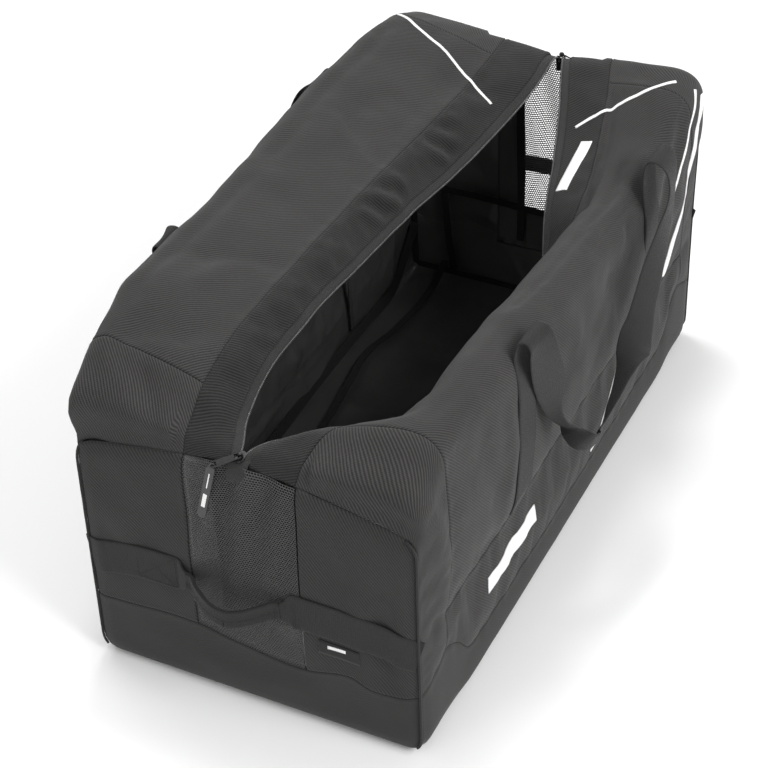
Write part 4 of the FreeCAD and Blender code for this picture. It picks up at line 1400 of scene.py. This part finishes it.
for _end, _sign in ENDS:
    _x1 = _sign * 459.0
    _parts = Parts()
    bound(_parts, [(_x1, -212, 164), (_x1, -100, 166), (_x1, 0, 163), (_x1, 100, 166),
                   (_x1, 212, 164)], (0, 0, 6))
    bound(_parts, [(_x1, 40, 104), (_x1, 39, 200), (_x1, 41, 300), (_x1, 40, 392)], (0, 6, 0))
    bound(_parts, [(_x1, 152, 20), (_x1 - _sign * 3, 160, 90), (_x1, 166, 160)], (0, 6, 0))
    bound(_parts, [(_x1, -218, 12), (_x1, -218, 340)], (0, 5, 0))
    bound(_parts, [(_x1, 218, 12), (_x1, 218, 340)], (0, 5, 0))
    bound(_parts, [(_x1, -214, 13), (_x1, 214, 13)], (0, 0, 5))
    _parts.piece("seam_tape_%s_bound" % _end, "binding_tape", BAG, ["seam_tape_" + _end])
    _parts = Parts()
    for _ya, _yb, _za, _zb in ((37, 82, 84, 384), (-82, 82, 84, 158)):
        _y = np.linspace(_ya, _yb, 10)
        _z = np.linspace(_za, _zb, 22)
        _yy, _zz = np.meshgrid(_y, _z)
        _in, _n = on_end(_end, _yy, _zz, -4.6)
        _pts, _fcs, _ = closed_sheet(_in, _in - _n * 0.9, _sign < 0)
        _parts.add(_pts, _fcs)
    _parts.piece("vent_facing_" + _end, "coating")
_parts = Parts()
bound(_parts, [(-449, 214, 60), (-400, 218, 18), (-200, 219, 13), (0, 218, 14), (127, 218, 18),
               (274, 219, 15), (372, 218, 16), (449, 212, 96)], (0, 5, 5))
_parts.piece("seam_tape_back_bound", "binding_tape", BAG, ["seam_tape_back"])
_parts = Parts()
bound(_parts, [(-449, -214, 60), (-400, -218, 18), (-150, -218, 14), (120, -218, 15),
               (372, -218, 16), (449, -212, 90)], (0, -5, 5))
_parts.piece("seam_tape_front_bound", "binding_tape", BAG, ["seam_tape_front"])
_parts = Parts()
bound(_parts, [(-455, 164, 22), (-300, 168, 15), (-120, 163, 14), (31, 166, 15), (130, 176, 15),
               (219, 184, 15), (292, 170, 14), (405, 165, 15), (456, 165, 34)], (0, 5.5, 0), 2.4)
bound(_parts, [(-190, 222, 200), (-189, 222, 120), (-188, 221, 30)], (5, 0, 0))
bound(_parts, [(240, 222, 200), (240, 222, 120), (241, 221, 30)], (5, 0, 0))
_parts.piece("floor_tape", "binding_tape")

# ---- camera, light and floor -----------------------------------------------------
CAMERA_TURN = (-62.7993, 38.4978, -2.1558)     # azimuth, elevation and roll, in degrees
CAMERA_PLACE = (-2.12663, -1.04576, 2.05758)
CAMERA_LENS = 104.36
FLOOR_HALF = 12.0


def studio():
    azimuth, elevation, roll = (math.radians(a) for a in CAMERA_TURN)
    back = Vector((math.sin(azimuth) * math.cos(elevation),
                   -math.cos(azimuth) * math.cos(elevation), math.sin(elevation)))
    right = Vector((0, 0, 1)).cross(back).normalized()
    up = back.cross(right)
    level = right * math.cos(roll) + up * math.sin(roll)
    head = up * math.cos(roll) - right * math.sin(roll)
    data = bpy.data.cameras.new("camera")
    data.sensor_width = 36.0
    data.lens = CAMERA_LENS
    data.clip_start, data.clip_end = 0.05, 60.0
    cam = bpy.data.objects.new("camera", data)
    turn = Matrix((level, head, back)).transposed().to_4x4()
    cam.matrix_world = Matrix.Translation(CAMERA_PLACE) @ turn
    bpy.context.scene.collection.objects.link(cam)
    bpy.context.scene.camera = cam

    for name, place, aim, size, power in (
            ("key", (-0.9, -3.0, 2.9), (0, 0, 0.25), 1.9, 118.0),
            ("fill", (-3.4, 0.6, 2.4), (0, 0, 0.2), 2.2, 25.0),
            ("top", (0.8, 1.9, 3.2), (0, 0, 0.2), 1.6, 26.0),
            ("above", (0.5, 0.3, 3.0), (0.1, 0, 0.0), 0.7, 34.0)):
        lamp = bpy.data.lights.new(name, "AREA")
        lamp.energy = power
        lamp.size = size
        obj = bpy.data.objects.new(name, lamp)
        obj.location = place
        obj.rotation_euler = (Vector(aim) - Vector(place)).to_track_quat("-Z", "Y").to_euler()
        bpy.context.scene.collection.objects.link(obj)

    world = bpy.data.worlds.new("studio")
    world.use_nodes = True
    world.node_tree.nodes["Background"].inputs["Color"].default_value = (1.0, 1.0, 1.0, 1.0)
    world.node_tree.nodes["Background"].inputs["Strength"].default_value = 0.54
    bpy.context.scene.world = world
    bpy.context.scene.view_settings.view_transform = "Standard"

    mesh = bpy.data.meshes.new("floor")
    mesh.from_pydata([(x * FLOOR_HALF, y * FLOOR_HALF, -0.001)
                      for x, y in ((-1, -1), (1, -1), (1, 1), (-1, 1))], [], [(0, 1, 2, 3)])
    mat, _, shader = new_material("floor")
    shader.inputs["Base Color"].default_value = (0.9, 0.9, 0.9, 1.0)
    shader.inputs["Roughness"].default_value = 0.8
    mesh.materials.append(mat)
    floor = bpy.data.objects.new("floor", mesh)
    bpy.context.scene.collection.objects.link(floor)


studio()
